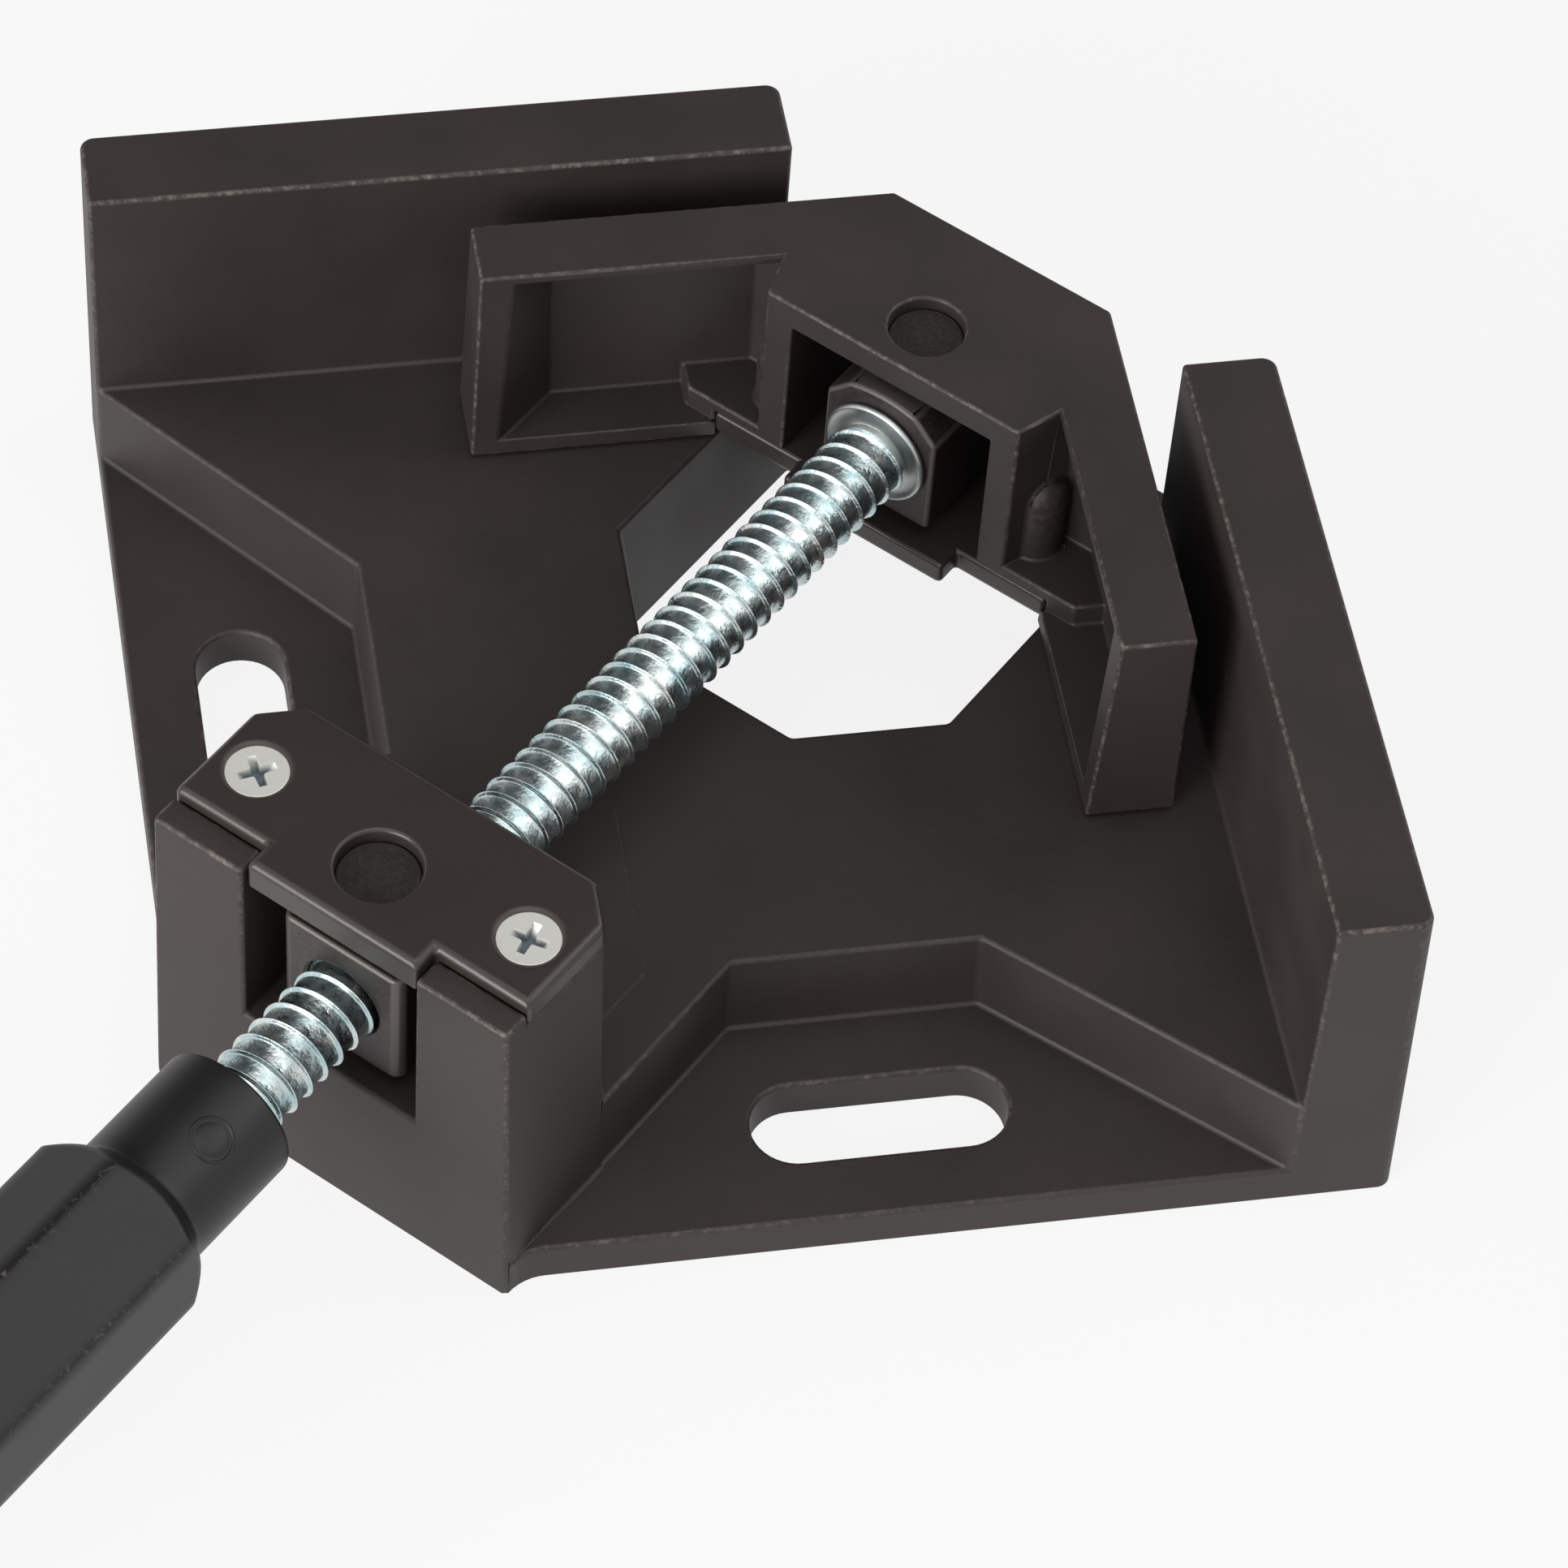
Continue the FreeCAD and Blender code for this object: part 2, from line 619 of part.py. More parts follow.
def thrust_washer():
    """A domed washer: a thin rim, and a crown that the last turn of the thread bears on."""
    bore = JOURNAL_RADIUS + SEAT_CLEARANCE
    rim = Vector(WASHER_FACE - WASHER_RIM, 0, WASHER_RADIUS)
    crown = Vector(WASHER_FACE - WASHER_DOME, 0, THREAD_RADIUS)
    middle_radius = (THREAD_RADIUS + WASHER_RADIUS) / 2
    bulge = Vector(WASHER_FACE - WASHER_RIM - 0.72 * (WASHER_DOME - WASHER_RIM), 0, middle_radius)
    inner = Vector(WASHER_FACE - WASHER_DOME, 0, bore)
    foot = Vector(WASHER_FACE, 0, bore)
    outer = Vector(WASHER_FACE, 0, WASHER_RADIUS)
    edges = [
        Part.LineSegment(crown, inner).toShape(),
        Part.LineSegment(inner, foot).toShape(),
        Part.LineSegment(foot, outer).toShape(),
        Part.LineSegment(outer, rim).toShape(),
        Part.Arc(rim, bulge, crown).toShape(),
    ]
    return screw_piece(Part.Face(Part.Wire(edges)).revolve(ORIGIN, Vector(1, 0, 0), 360))


def rear_washer():
    washer = bar(REAR_WASHER_START, RING_START, REAR_WASHER_RADIUS)
    bore = bar(0, SCREW_END, JOURNAL_RADIUS + SEAT_CLEARANCE)
    return screw_piece(washer.cut(bore))


def retaining_ring():
    """A clip with an open side, pressed into the screw's groove."""
    ring = bar(RING_START, RING_START + RING_THICKNESS, RING_RADIUS)
    groove = bar(0, SCREW_END, RING_GROOVE_RADIUS)
    mouth = RING_GROOVE_RADIUS * 0.8
    opening = block(0, SCREW_END, -mouth, mouth, -RING_RADIUS - ABOVE, 0)
    return screw_piece(ring.cut([groove, opening]))


def handle_grip():
    """The moulded handle: a round collar that takes the screw, and a six-sided grip."""
    shoulder = HANDLE_RIM - COLLAR_LENGTH
    end = shoulder - GRIP_LENGTH
    corner_radius = GRIP_ACROSS_FLATS / math.sqrt(3.0)
    corners = []
    for step in range(6):
        angle = math.radians(90 + 60 * step)
        corners.append(Vector(end, corner_radius * math.cos(angle), corner_radius * math.sin(angle)))
    six_sided = Part.Face(Part.makePolygon(corners + corners[:1])).extrude(Vector(GRIP_LENGTH, 0, 0))
    envelope = turned([
        (shoulder, 0),
        (shoulder, COLLAR_RADIUS + COLLAR_EDGE),
        (shoulder - GRIP_FRONT_TAPER, GRIP_TURNED_RADIUS),
        (end + GRIP_END_TAPER, GRIP_TURNED_RADIUS),
        (end, GRIP_TURNED_RADIUS - GRIP_END_TAPER),
        (end, 0),
    ])
    collar = turned([
        (HANDLE_RIM, 0),
        (HANDLE_RIM, COLLAR_RADIUS - COLLAR_EDGE),
        (HANDLE_RIM - COLLAR_EDGE, COLLAR_RADIUS),
        (shoulder - GRIP_FRONT_TAPER, COLLAR_RADIUS),
        (shoulder - GRIP_FRONT_TAPER, 0),
    ])
    bore = bar(SCREW_START - SEAT_CLEARANCE, HANDLE_RIM + ABOVE, THREAD_RADIUS + SEAT_CLEARANCE)
    grip = six_sided.common(envelope).fuse(collar).removeSplitter()
    return screw_piece(grip.cut([bore, pin_hole(PIN_RADIUS)]))


def handle_pin():
    """The pin through collar and screw, dressed flush with the collar."""
    flush = bar(HANDLE_RIM - COLLAR_LENGTH, HANDLE_RIM, COLLAR_RADIUS)
    return screw_piece(pin_hole(PIN_RADIUS).common(flush))


# Jaw casting, in its own frame: +X towards fence B, +Y towards fence A, the pivot at x=y=0


def to_jaw_frame(shape):
    """From the diagonal's frame at the pivot to the jaw's own frame."""
    moved = shape.copy()
    moved.rotate(ORIGIN, UP, 45)
    return moved


def front_corner():
    """Where the jaw's front face ends, on fence A's side."""
    return ((-JAW_FRONT - JAW_FRONT_HALF) / ROOT_TWO, (-JAW_FRONT + JAW_FRONT_HALF) / ROOT_TWO)


def notch_x(y):
    """The body's side, a straight line from the front corner to the notch beside the leg."""
    corner_x, corner_y = front_corner()
    inner = JAW_FACE - JAW_LEG_WIDTH
    slope = (-JAW_NOTCH - corner_x) / (inner - corner_y)
    return corner_x + slope * (y - corner_y)


def jaw_outline(leg_draft, tip_draft):
    """The jaw seen from above: two legs at a right angle, joined by the body."""
    inner = JAW_FACE - JAW_LEG_WIDTH - leg_draft
    tip = JAW_LEG + tip_draft
    half = [
        (JAW_FACE - JAW_CORNER_CUT, JAW_FACE),
        (-tip, JAW_FACE),
        (-tip, inner),
        (notch_x(inner), inner),
        front_corner(),
    ]
    return half + swap(half)


def leg_pocket():
    """What the cores leave out of leg A's inner side, drawn out along the diagonal."""
    back = JAW_FACE - JAW_WALL
    front = JAW_FACE - JAW_LEG_WIDTH - JAW_LEG_DRAFT - 2
    tip = -JAW_LEG + JAW_RIM
    web_top = JAW_PLATE_TOP + WEB_THICKNESS
    sill = JAW_BOTTOM + JAW_LEG_SILL
    depth = back - front
    web_line = -JAW_FRONT * ROOT_TWO
    low = [
        (tip - 1, front),
        (web_line - front, front),
        (-WEB_END, WEB_END + web_line),
        (-WEB_END, back),
        (tip - 1 + depth, back),
    ]
    high = [
        (tip - 1, front),
        (notch_x(front) - 0.001, front),
        (notch_x(back - JAW_WALL), back - JAW_WALL),
        (notch_x(back - JAW_WALL) - JAW_WALL, back),
        (tip - 1 + depth, back),
    ]
    lower = prism(low, sill, web_top + 0.01)
    upper = prism(high, web_top, JAW_TOP - JAW_LEG_ROOF)
    return lower.fuse(upper)


def web():
    """The thin web between leg and body that the cover plate lies against."""
    corner_x, corner_y = front_corner()
    inner = JAW_FACE - JAW_LEG_WIDTH - JAW_LEG_DRAFT
    web_line = -JAW_FRONT * ROOT_TWO
    outline = [
        (corner_x, corner_y),
        (notch_x(inner + 1) + 1, inner + 1),
        (web_line - inner - 1, inner + 1),
    ]
    return prism(outline, JAW_BOTTOM, JAW_PLATE_TOP + WEB_THICKNESS)


def boss():
    """The round boss that takes a cover screw, with a domed top."""
    x = (-JAW_SCREW_OFFSET - JAW_SCREW_SPREAD) / ROOT_TWO
    y = (-JAW_SCREW_OFFSET + JAW_SCREW_SPREAD) / ROOT_TWO
    top = JAW_PLATE_TOP + BOSS_HEIGHT
    dome = Part.makeSphere(BOSS_RADIUS, Vector(x, y, top))
    return round_post(x, y, BOSS_RADIUS, JAW_PLATE_TOP, top).fuse(dome)


def jaw_casting():
    solid = drafted(jaw_outline(JAW_LEG_DRAFT, JAW_TIP_DRAFT), jaw_outline(0, 0), JAW_BOTTOM, JAW_TOP)
    side_web = web()
    solid = solid.multiFuse([side_web, mirrored(side_web)])
    pocket = leg_pocket()
    solid = solid.cut([pocket, mirrored(pocket)])
    side_boss = boss()
    solid = solid.multiFuse([side_boss, mirrored(side_boss)])
    cavity = block(-JAW_FRONT - ABOVE, JAW_CAVITY_REAR, -JAW_CAVITY_HALF, JAW_CAVITY_HALF,
                   0, JAW_TOP - JAW_ROOF)
    seat = prism(jaw_plate_outline(PLATE_CLEARANCE), 0, JAW_PLATE_TOP)
    cuts = [to_jaw_frame(cavity), to_jaw_frame(seat), round_post(0, 0, SWIVEL_HOLE_RADIUS, 0, JAW_TOP + ABOVE)]
    for side in (-JAW_SCREW_SPREAD, JAW_SCREW_SPREAD):
        high = JAW_PLATE_BOTTOM + SCREW_LENGTH + PLATE_CLEARANCE
        hole = round_post(-JAW_SCREW_OFFSET, side, SCREW_SHANK_RADIUS, 0, high)
        cuts.append(to_jaw_frame(hole))
    solid = solid.cut(cuts).removeSplitter()
    solid.translate(Vector(-PIVOT_CORNER, -PIVOT_CORNER, 0))
    return solid


PIECES = {
    "base_casting": base_casting(),
    "nut_block": nut_block(),
    "nut_cover_plate": nut_cover_plate(),
    "nut_cover_screw_left": nut_cover_screw(1),
    "nut_cover_screw_right": nut_cover_screw(-1),
    "lead_screw": lead_screw(),
    "thrust_washer": thrust_washer(),
    "swivel_block": swivel_block(),
    "rear_washer": rear_washer(),
    "retaining_ring": retaining_ring(),
    "jaw_casting": jaw_casting(),
    "jaw_cover_plate": jaw_cover_plate(),
    "jaw_cover_screw_left": jaw_cover_screw(1),
    "jaw_cover_screw_right": jaw_cover_screw(-1),
    "handle_grip": handle_grip(),
    "handle_pin": handle_pin(),
}

os.makedirs("parts", exist_ok=True)
for name, piece in PIECES.items():
    piece.exportStep("parts/" + name + ".step")
    print(name, "solids", len(piece.Solids), "volume", round(piece.Volume), "valid", piece.isValid())
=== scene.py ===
import math

import bmesh
import bpy
import numpy as np
from mathutils import Matrix, Vector
from mathutils.bvhtree import BVHTree


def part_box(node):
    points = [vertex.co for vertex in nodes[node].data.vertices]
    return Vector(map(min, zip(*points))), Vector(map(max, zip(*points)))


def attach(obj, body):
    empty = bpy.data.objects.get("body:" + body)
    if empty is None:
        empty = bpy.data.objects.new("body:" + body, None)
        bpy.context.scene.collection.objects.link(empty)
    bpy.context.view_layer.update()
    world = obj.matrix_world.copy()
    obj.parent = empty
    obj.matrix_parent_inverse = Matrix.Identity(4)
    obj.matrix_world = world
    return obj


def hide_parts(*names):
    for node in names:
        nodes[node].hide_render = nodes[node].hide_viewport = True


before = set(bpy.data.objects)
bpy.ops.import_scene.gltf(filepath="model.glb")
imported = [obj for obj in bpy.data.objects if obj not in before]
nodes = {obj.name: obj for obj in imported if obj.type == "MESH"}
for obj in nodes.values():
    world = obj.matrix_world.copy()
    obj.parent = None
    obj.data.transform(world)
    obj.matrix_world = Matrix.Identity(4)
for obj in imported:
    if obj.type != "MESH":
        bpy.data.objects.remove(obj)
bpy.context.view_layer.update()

scene = bpy.context.scene

# Studio. A pale floor runs to the horizon under a white sky, lit by wide soft lamps. A black card
# hangs high behind, so that level faces stay dark, as for a catalogue picture. The camera stands
# on the handle's side and looks down on the clamp.

FLOOR_REACH = 4.0
FLOOR_GLOW = 0.86
CARD_TOWARDS = (0.0, 0.75, 0.66)
CARD_EDGE, CARD_MIDDLE = 0.70, 0.93
OPEN_SKY, BLACK_CARD, ROOM_LIGHT = 0.95, 0.08, 0.30
CLAMP_MIDDLE = Vector((-0.08, -0.08, 0.03))
CAMERA_PLACE = (-0.17291, -0.57463, 0.65413)
AZIMUTH, ELEVATION, ROLL = (math.radians(angle) for angle in (13.193, 51.301, 4.928))
SENSOR_WIDTH = 36.0
FOCAL_LENGTH = 142.25
FARTHEST_SEEN = 20.0


def linear(colour):
    """An sRGB hex colour as linear RGBA."""
    parts = [int(colour[i:i + 2], 16) / 255 for i in (1, 3, 5)]
    return [p / 12.92 if p <= 0.04045 else ((p + 0.055) / 1.055) ** 2.4 for p in parts] + [1.0]


def add(tree, kind, settings=None, links=None):
    """Adds a node with its settings, by attribute, input or colour stop, and links, by input."""
    node = tree.nodes.new(kind)
    for name, value in (settings or {}).items():
        if name == "stops":
            for stop, (position, colour) in zip(node.color_ramp.elements, value):
                stop.position, stop.color = position, linear(colour)
        elif isinstance(name, str) and hasattr(node, name):
            setattr(node, name, value)
        else:
            node.inputs[name].default_value = value
    for name, source in (links or {}).items():
        tree.links.new(source, node.inputs[name])
    return node


def empty_material(name):
    """A new material with an empty tree."""
    material = bpy.data.materials.new(name)
    material.use_nodes = True
    material.node_tree.nodes.clear()
    return material, material.node_tree


def put(name, data):
    """A new object in the scene that holds a mesh, a lamp or a camera."""
    obj = bpy.data.objects.new(name, data)
    scene.collection.objects.link(obj)
    return obj


def softbox(name, place, width, depth, power):
    """A soft rectangular lamp that faces the clamp."""
    data = bpy.data.lights.new(name, "AREA")
    data.shape = "RECTANGLE"
    data.size, data.size_y, data.energy = width, depth, power
    lamp = put(name, data)
    lamp.location = place
    lamp.rotation_euler = (CLAMP_MIDDLE - Vector(place)).to_track_quat("-Z", "Y").to_euler()


scene.view_settings.view_transform = "Standard"

floor_mesh = bpy.data.meshes.new("studio_floor")
floor_mesh.from_pydata([(x * FLOOR_REACH, y * FLOOR_REACH, 0)
                        for x, y in ((-1, -1), (1, -1), (1, 1), (-1, 1))], [], [(0, 1, 2, 3)])
floor = put("studio_floor", floor_mesh)

# Matt paper takes the object's shadow. Its glow shows only to the camera, metal and glass.
floor_paper, tree = empty_material("matt white background paper")
rays = add(tree, "ShaderNodeLightPath")
paper = add(tree, "ShaderNodeBsdfDiffuse", {"Color": linear("#E9E9E9")})
mirrored = add(tree, "ShaderNodeMath", {"operation": "MAXIMUM"},
               {0: rays.outputs["Is Glossy Ray"], 1: rays.outputs["Is Transmission Ray"]})
straight = add(tree, "ShaderNodeMath", {"operation": "MAXIMUM"},
               {0: rays.outputs["Is Camera Ray"], 1: mirrored.outputs[0]})
glow = add(tree, "ShaderNodeEmission", {"Color": linear("#FFFFFF")},
           {"Strength": straight.outputs[0]})
lift = add(tree, "ShaderNodeMixShader", {0: FLOOR_GLOW}, {1: paper.outputs[0], 2: glow.outputs[0]})
add(tree, "ShaderNodeOutputMaterial", {}, {"Surface": lift.outputs[0]})
floor_mesh.materials.append(floor_paper)

# The sky is white to the camera, dimmer as a light, and dark in gloss towards the card.
sky = bpy.data.worlds.new("white studio")
sky.use_nodes = True
tree = sky.node_tree
tree.nodes.clear()
rays = add(tree, "ShaderNodeLightPath")
place = add(tree, "ShaderNodeTexCoord")
card = add(tree, "ShaderNodeVectorMath", {"operation": "DOT_PRODUCT", 1: CARD_TOWARDS},
           {0: place.outputs["Generated"]})
gloss = add(tree, "ShaderNodeMapRange",
            {"From Min": CARD_EDGE, "From Max": CARD_MIDDLE,
             "To Min": OPEN_SKY, "To Max": BLACK_CARD},
            {"Value": card.outputs["Value"]})
seen = add(tree, "ShaderNodeMix", {"data_type": "FLOAT", 2: ROOM_LIGHT},
           {0: rays.outputs["Is Glossy Ray"], 3: gloss.outputs[0]})
straight = add(tree, "ShaderNodeMath", {"operation": "MAXIMUM"},
               {0: rays.outputs["Is Camera Ray"], 1: rays.outputs["Is Transmission Ray"]})
strength = add(tree, "ShaderNodeMix", {"data_type": "FLOAT", 3: 1.0},
               {0: straight.outputs[0], 2: seen.outputs[0]})
light = add(tree, "ShaderNodeBackground", {"Color": linear("#FFFFFF")},
            {"Strength": strength.outputs[0]})
add(tree, "ShaderNodeOutputWorld", {}, {"Surface": light.outputs[0]})
scene.world = sky

softbox("left key softbox", (-1.10, -0.85, 0.40), 0.9, 0.7, 18)
softbox("overhead softbox", (0.05, -0.25, 1.50), 1.1, 0.9, 3.5)
softbox("right softbox", (1.15, -0.05, 0.95), 1.0, 0.8, 3.5)

lens = bpy.data.cameras.new("catalogue camera")
lens.sensor_width = SENSOR_WIDTH
lens.lens = FOCAL_LENGTH
lens.clip_end = FARTHEST_SEEN
camera = put("catalogue camera", lens)
ahead = Vector((math.sin(AZIMUTH) * math.cos(ELEVATION), math.cos(AZIMUTH) * math.cos(ELEVATION),
                -math.sin(ELEVATION)))
level = ahead.cross(Vector((0, 0, 1))).normalized()
right = Matrix.Rotation(-ROLL, 3, ahead) @ level
upward = right.cross(ahead)
facing = Matrix((right, upward, -ahead)).transposed().to_4x4()
camera.matrix_world = Matrix.Translation(CAMERA_PLACE) @ facing
scene.camera = camera

# Base casting. One die casting in aluminium: a thin flange, a raised floor with a window, two
# fences and the tower for the nut. It is blasted and coated matt dark brown, and its sharp
# corners are only broken, so that the coat is thin and a little rubbed there.

SHARP = math.radians(28)
CASTING_EDGE = 0.00065
EDGE_SEGMENTS = 3
GROUND = 0.0
LEVEL_WITH = 1e-5
FUSED = 2e-6
RUNS_ON = -0.8
ROOM_SHARE = 0.45
LEAST_ROUND = 0.12
STRAY = 0.35
SPREADS = 60
BROAD = 0.002
ALIKE = 0.64
NEAR_BY = 4
RUB_GAIN = 4.0
STILL_FLAT = 0.8
PLANE_STEP = 0.0001
PLANE_SHIFT = 0.000013


def settled(piece):
    """Turns an object's modifiers into its plain mesh, and takes them off."""
    graph = bpy.context.evaluated_depsgraph_get()
    mesh = bpy.data.meshes.new_from_object(piece.evaluated_get(graph))
    mesh.name = piece.name
    for index in reversed(range(len(mesh.materials))):
        if mesh.materials[index] is None:
            mesh.materials.pop(index=index)
    piece.modifiers.clear()
    piece.data = mesh
    return piece


def read(items, name, width=1, kind=np.float32):
    """One property of all items of a mesh as an array."""
    values = np.empty(len(items) * width, kind)
    items.foreach_get(name, values)
    return values.reshape(-1, width) if width > 1 else values


def mark(mesh, name, values):
    """Gives every point of a mesh a number that its material reads."""
    mesh.attributes.new(name, "FLOAT", "POINT").data.foreach_set(
        "value", np.asarray(values, np.float32))


def true_flats(mesh):
    """Shades each flat face dead flat up to its rounded edges.

    Returns the breadth of the broadest flat that meets at each point.
    """
    places = read(mesh.vertices, "co", 3)
    corner = read(mesh.loops, "vertex_index", 1, np.int32)
    owner = np.repeat(np.arange(len(mesh.polygons)), read(mesh.polygons, "loop_total", 1, np.int32))
    facing = read(mesh.polygons, "normal", 3)
    level = (facing * read(mesh.polygons, "center", 3)).sum(1, keepdims=True)
    # Faces in one plane count as one flat. Its breadth is its area over its longest reach.
    step = np.round((level + PLANE_SHIFT) / PLANE_STEP)
    _, plane = np.unique(np.hstack([np.round(facing, 2), step]), axis=0, return_inverse=True)
    plane = plane.ravel()
    low = np.full((plane.max() + 1, 3), np.inf)
    high = -low
    np.minimum.at(low, plane[owner], places[corner])
    np.maximum.at(high, plane[owner], places[corner])
    area = np.bincount(plane, read(mesh.polygons, "area"))
    breadth = (area / (np.linalg.norm(high - low, axis=1) + 1e-9))[plane]
    broadest = np.empty(len(places), np.int32)
    order = np.argsort(breadth[owner])
    broadest[corner[order]] = owner[order]
    # A flat keeps its own normal, and a rounded strip takes it over where the two meet.
    beside = broadest[corner]
    shade = read(mesh.corner_normals, "vector", 3)
    near = (breadth[beside] > BROAD) & ((facing[owner] * facing[beside]).sum(1) > ALIKE)
    shade[near] = facing[beside][near]
    own = breadth[owner] > BROAD
    shade[own] = facing[owner][own]
    mesh.normals_split_custom_set(shade.tolist())
    return breadth[broadest]


def rubbed(mesh, width, breadth):
    """Marks the points of rounded edges that stand out, from 0 to 1, as worn."""
    places = read(mesh.vertices, "co", 3)
    ends = read(mesh.edges, "vertices", 2, np.int32)
    away = places[ends[:, 1]] - places[ends[:, 0]]
    span = np.linalg.norm(away, axis=1) + 1e-9
    short = span < NEAR_BY * width
    outward = read(mesh.vertices, "normal", 3)
    rise, number = np.zeros(len(places)), np.zeros(len(places))
    for side, sign in ((0, -1), (1, 1)):
        slope = sign * (away * outward[ends[:, side]]).sum(1) / span
        np.add.at(rise, ends[short, side], slope[short])
        np.add.at(number, ends[short, side], 1)
    worn = np.clip(rise / np.maximum(number, 1) * RUB_GAIN, 0, 1)
    worn[breadth > STILL_FLAT * width] = 0
    mark(mesh, "worn", worn)


def rounding_room(sharp, width):
    """How far each sharp edge can be rounded before it meets the next corner of its faces."""
    known = set(sharp)
    room = dict.fromkeys(sharp, width)
    runs_on = {edge: [] for edge in sharp}
    for edge in sharp:
        beside = ({other for face in edge.link_faces for other in face.edges} & known) - {edge}
        for vert in edge.verts:
            here = (edge.other_vert(vert).co - vert.co).normalized()
            for other in beside:
                if vert not in other.verts:
                    continue
                there = (other.other_vert(vert).co - vert.co).normalized()
                if here.dot(there) < RUNS_ON:
                    runs_on[edge].append(other)
                else:
                    room[edge] = min(room[edge], ROOM_SHARE * other.calc_length())
    for _ in range(SPREADS):
        for edge in sharp:
            room[edge] = min([room[edge]] + [room[other] for other in runs_on[edge]])
    return room


def edge_broken(node, width, ground=None):
    """A copy of a CAD node whose sharp edges are rounded, as far as the faces beside them allow.

    Edges at the level ground are left crisp, as grinding leaves them.
    """
    mesh = nodes[node].data.copy()
    mesh.materials.clear()
    work = bmesh.new()
    work.from_mesh(mesh)
    bmesh.ops.remove_doubles(work, verts=work.verts, dist=FUSED)
    weight = work.edges.layers.float.new("bevel_weight_edge")
    for face in work.faces:
        face.smooth = True
    corners = [edge for edge in work.edges
               if len(edge.link_faces) == 2 and edge.calc_face_angle(0) > SHARP]
    room = rounding_room([edge for edge in corners if ground is None or any(
        abs(vert.co.z - ground) > LEVEL_WITH for vert in edge.verts)], width)
    for edge in corners:
        if room.get(edge, 0.0) > LEAST_ROUND * width:
            edge[weight] = room[edge] / width
        else:
            edge.smooth = False
    work.to_mesh(mesh)
    work.free()
    piece = put(node + "_skin", mesh)
    bevel = piece.modifiers.new("broken edges", "BEVEL")
    bevel.limit_method = "WEIGHT"
    bevel.width = width
    bevel.segments = EDGE_SEGMENTS
    bevel.use_clamp_overlap = False
    bevel.loop_slide = False
    flatten = piece.modifiers.new("flat faces", "WEIGHTED_NORMAL")
    flatten.mode = "FACE_AREA"
    flatten.weight = 100
    flatten.keep_sharp = True
    mesh = settled(piece).data
    solid = nodes[node].data
    surface = BVHTree.FromPolygons([vert.co for vert in solid.vertices],
                                   [tuple(face.vertices) for face in solid.polygons])
    for vert in mesh.vertices:
        spot, _, _, gap = surface.find_nearest(vert.co)
        if gap > STRAY * width:
            vert.co = spot
    rubbed(mesh, width, true_flats(mesh))
    return piece


def fit(piece, body, slot, *replaced):
    """Gives a finished piece its body and hides the CAD nodes it stands for. Its slot is not used.
    """
    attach(piece, body)
    if replaced:
        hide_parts(*replaced)


def dressed(node, body, slot, finish, width, ground=None):
    """Stands an edge-broken copy in its finish in for a CAD node."""
    piece = edge_broken(node, width, ground)
    piece.data.materials.append(finish)
    fit(piece, body, slot, node)


# Die-cast aluminium, blasted and coated: a near-black brown that is matt but not dead, with a
# slightly cloudy tone and lighter rubbed edges. As noise cells to the metre, its clouds are 26 mm
# wide, its peel 1.6 mm and its rubbed flecks 1.1 mm. Its blasted grain is drawn 0.4 mm wide,
# coarser than the real one, so that it shows.
CLOUDS, PEEL, FLECKS, GRAIN = 38.0, 620.0, 900.0, 2600.0
casting_coat, tree = empty_material("coated die-cast aluminium")
place = add(tree, "ShaderNodeTexCoord").outputs["Object"]
cloud = add(tree, "ShaderNodeTexNoise", {"Scale": CLOUDS, "Detail": 3.0, "Roughness": 0.55},
            {"Vector": place})
tone = add(tree, "ShaderNodeValToRGB", {"stops": ((0.3, "#2C2624"), (0.72, "#342D2B"))},
           {"Fac": cloud.outputs["Fac"]})
grain = add(tree, "ShaderNodeTexNoise", {"Scale": GRAIN, "Detail": 2.0, "Roughness": 0.6},
            {"Vector": place})
dust = add(tree, "ShaderNodeMapRange", {"From Min": 0.62, "From Max": 0.8, "To Max": 0.12},
           {"Value": grain.outputs["Fac"]})
speckled = add(tree, "ShaderNodeMix", {"data_type": "RGBA", 7: linear("#544B47")},
               {0: dust.outputs[0], 6: tone.outputs["Color"]})
worn = add(tree, "ShaderNodeAttribute", {"attribute_name": "worn"})
flecks = add(tree, "ShaderNodeTexNoise", {"Scale": FLECKS, "Detail": 4.0, "Roughness": 0.7},
             {"Vector": place})
ragged = add(tree, "ShaderNodeMapRange", {"From Min": 0.46, "From Max": 0.72},
             {"Value": flecks.outputs["Fac"]})
rub = add(tree, "ShaderNodeMath", {"operation": "MULTIPLY", "use_clamp": True},
          {0: worn.outputs["Fac"], 1: ragged.outputs[0]})
coat = add(tree, "ShaderNodeMix", {"data_type": "RGBA", 7: linear("#7C706A")},
           {0: rub.outputs[0], 6: speckled.outputs[2]})
rough = add(tree, "ShaderNodeMapRange",
            {"From Min": 0.3, "From Max": 0.7, "To Min": 0.5, "To Max": 0.62},
            {"Value": cloud.outputs["Fac"]})
peel = add(tree, "ShaderNodeTexNoise", {"Scale": PEEL, "Detail": 3.0, "Roughness": 0.5},
           {"Vector": place})
relief = add(tree, "ShaderNodeMath", {"operation": "ADD"},
             {0: peel.outputs["Fac"], 1: grain.outputs["Fac"]})
bumps = add(tree, "ShaderNodeBump", {"Strength": 0.22, "Distance": 0.0001},
            {"Height": relief.outputs[0]})
skin = add(tree, "ShaderNodeBsdfPrincipled", {},
           {"Base Color": coat.outputs[2], "Roughness": rough.outputs[0],
            "Normal": bumps.outputs[0]})
add(tree, "ShaderNodeOutputMaterial", {}, {"Surface": skin.outputs[0]})

dressed("base_casting", "base", "casting", casting_coat, CASTING_EDGE, ground=GROUND)

# Jaw casting. The same alloy and coat: two legs at a right angle, cored from inside to even
# walls, joined by a boxed body that holds the swivel block.

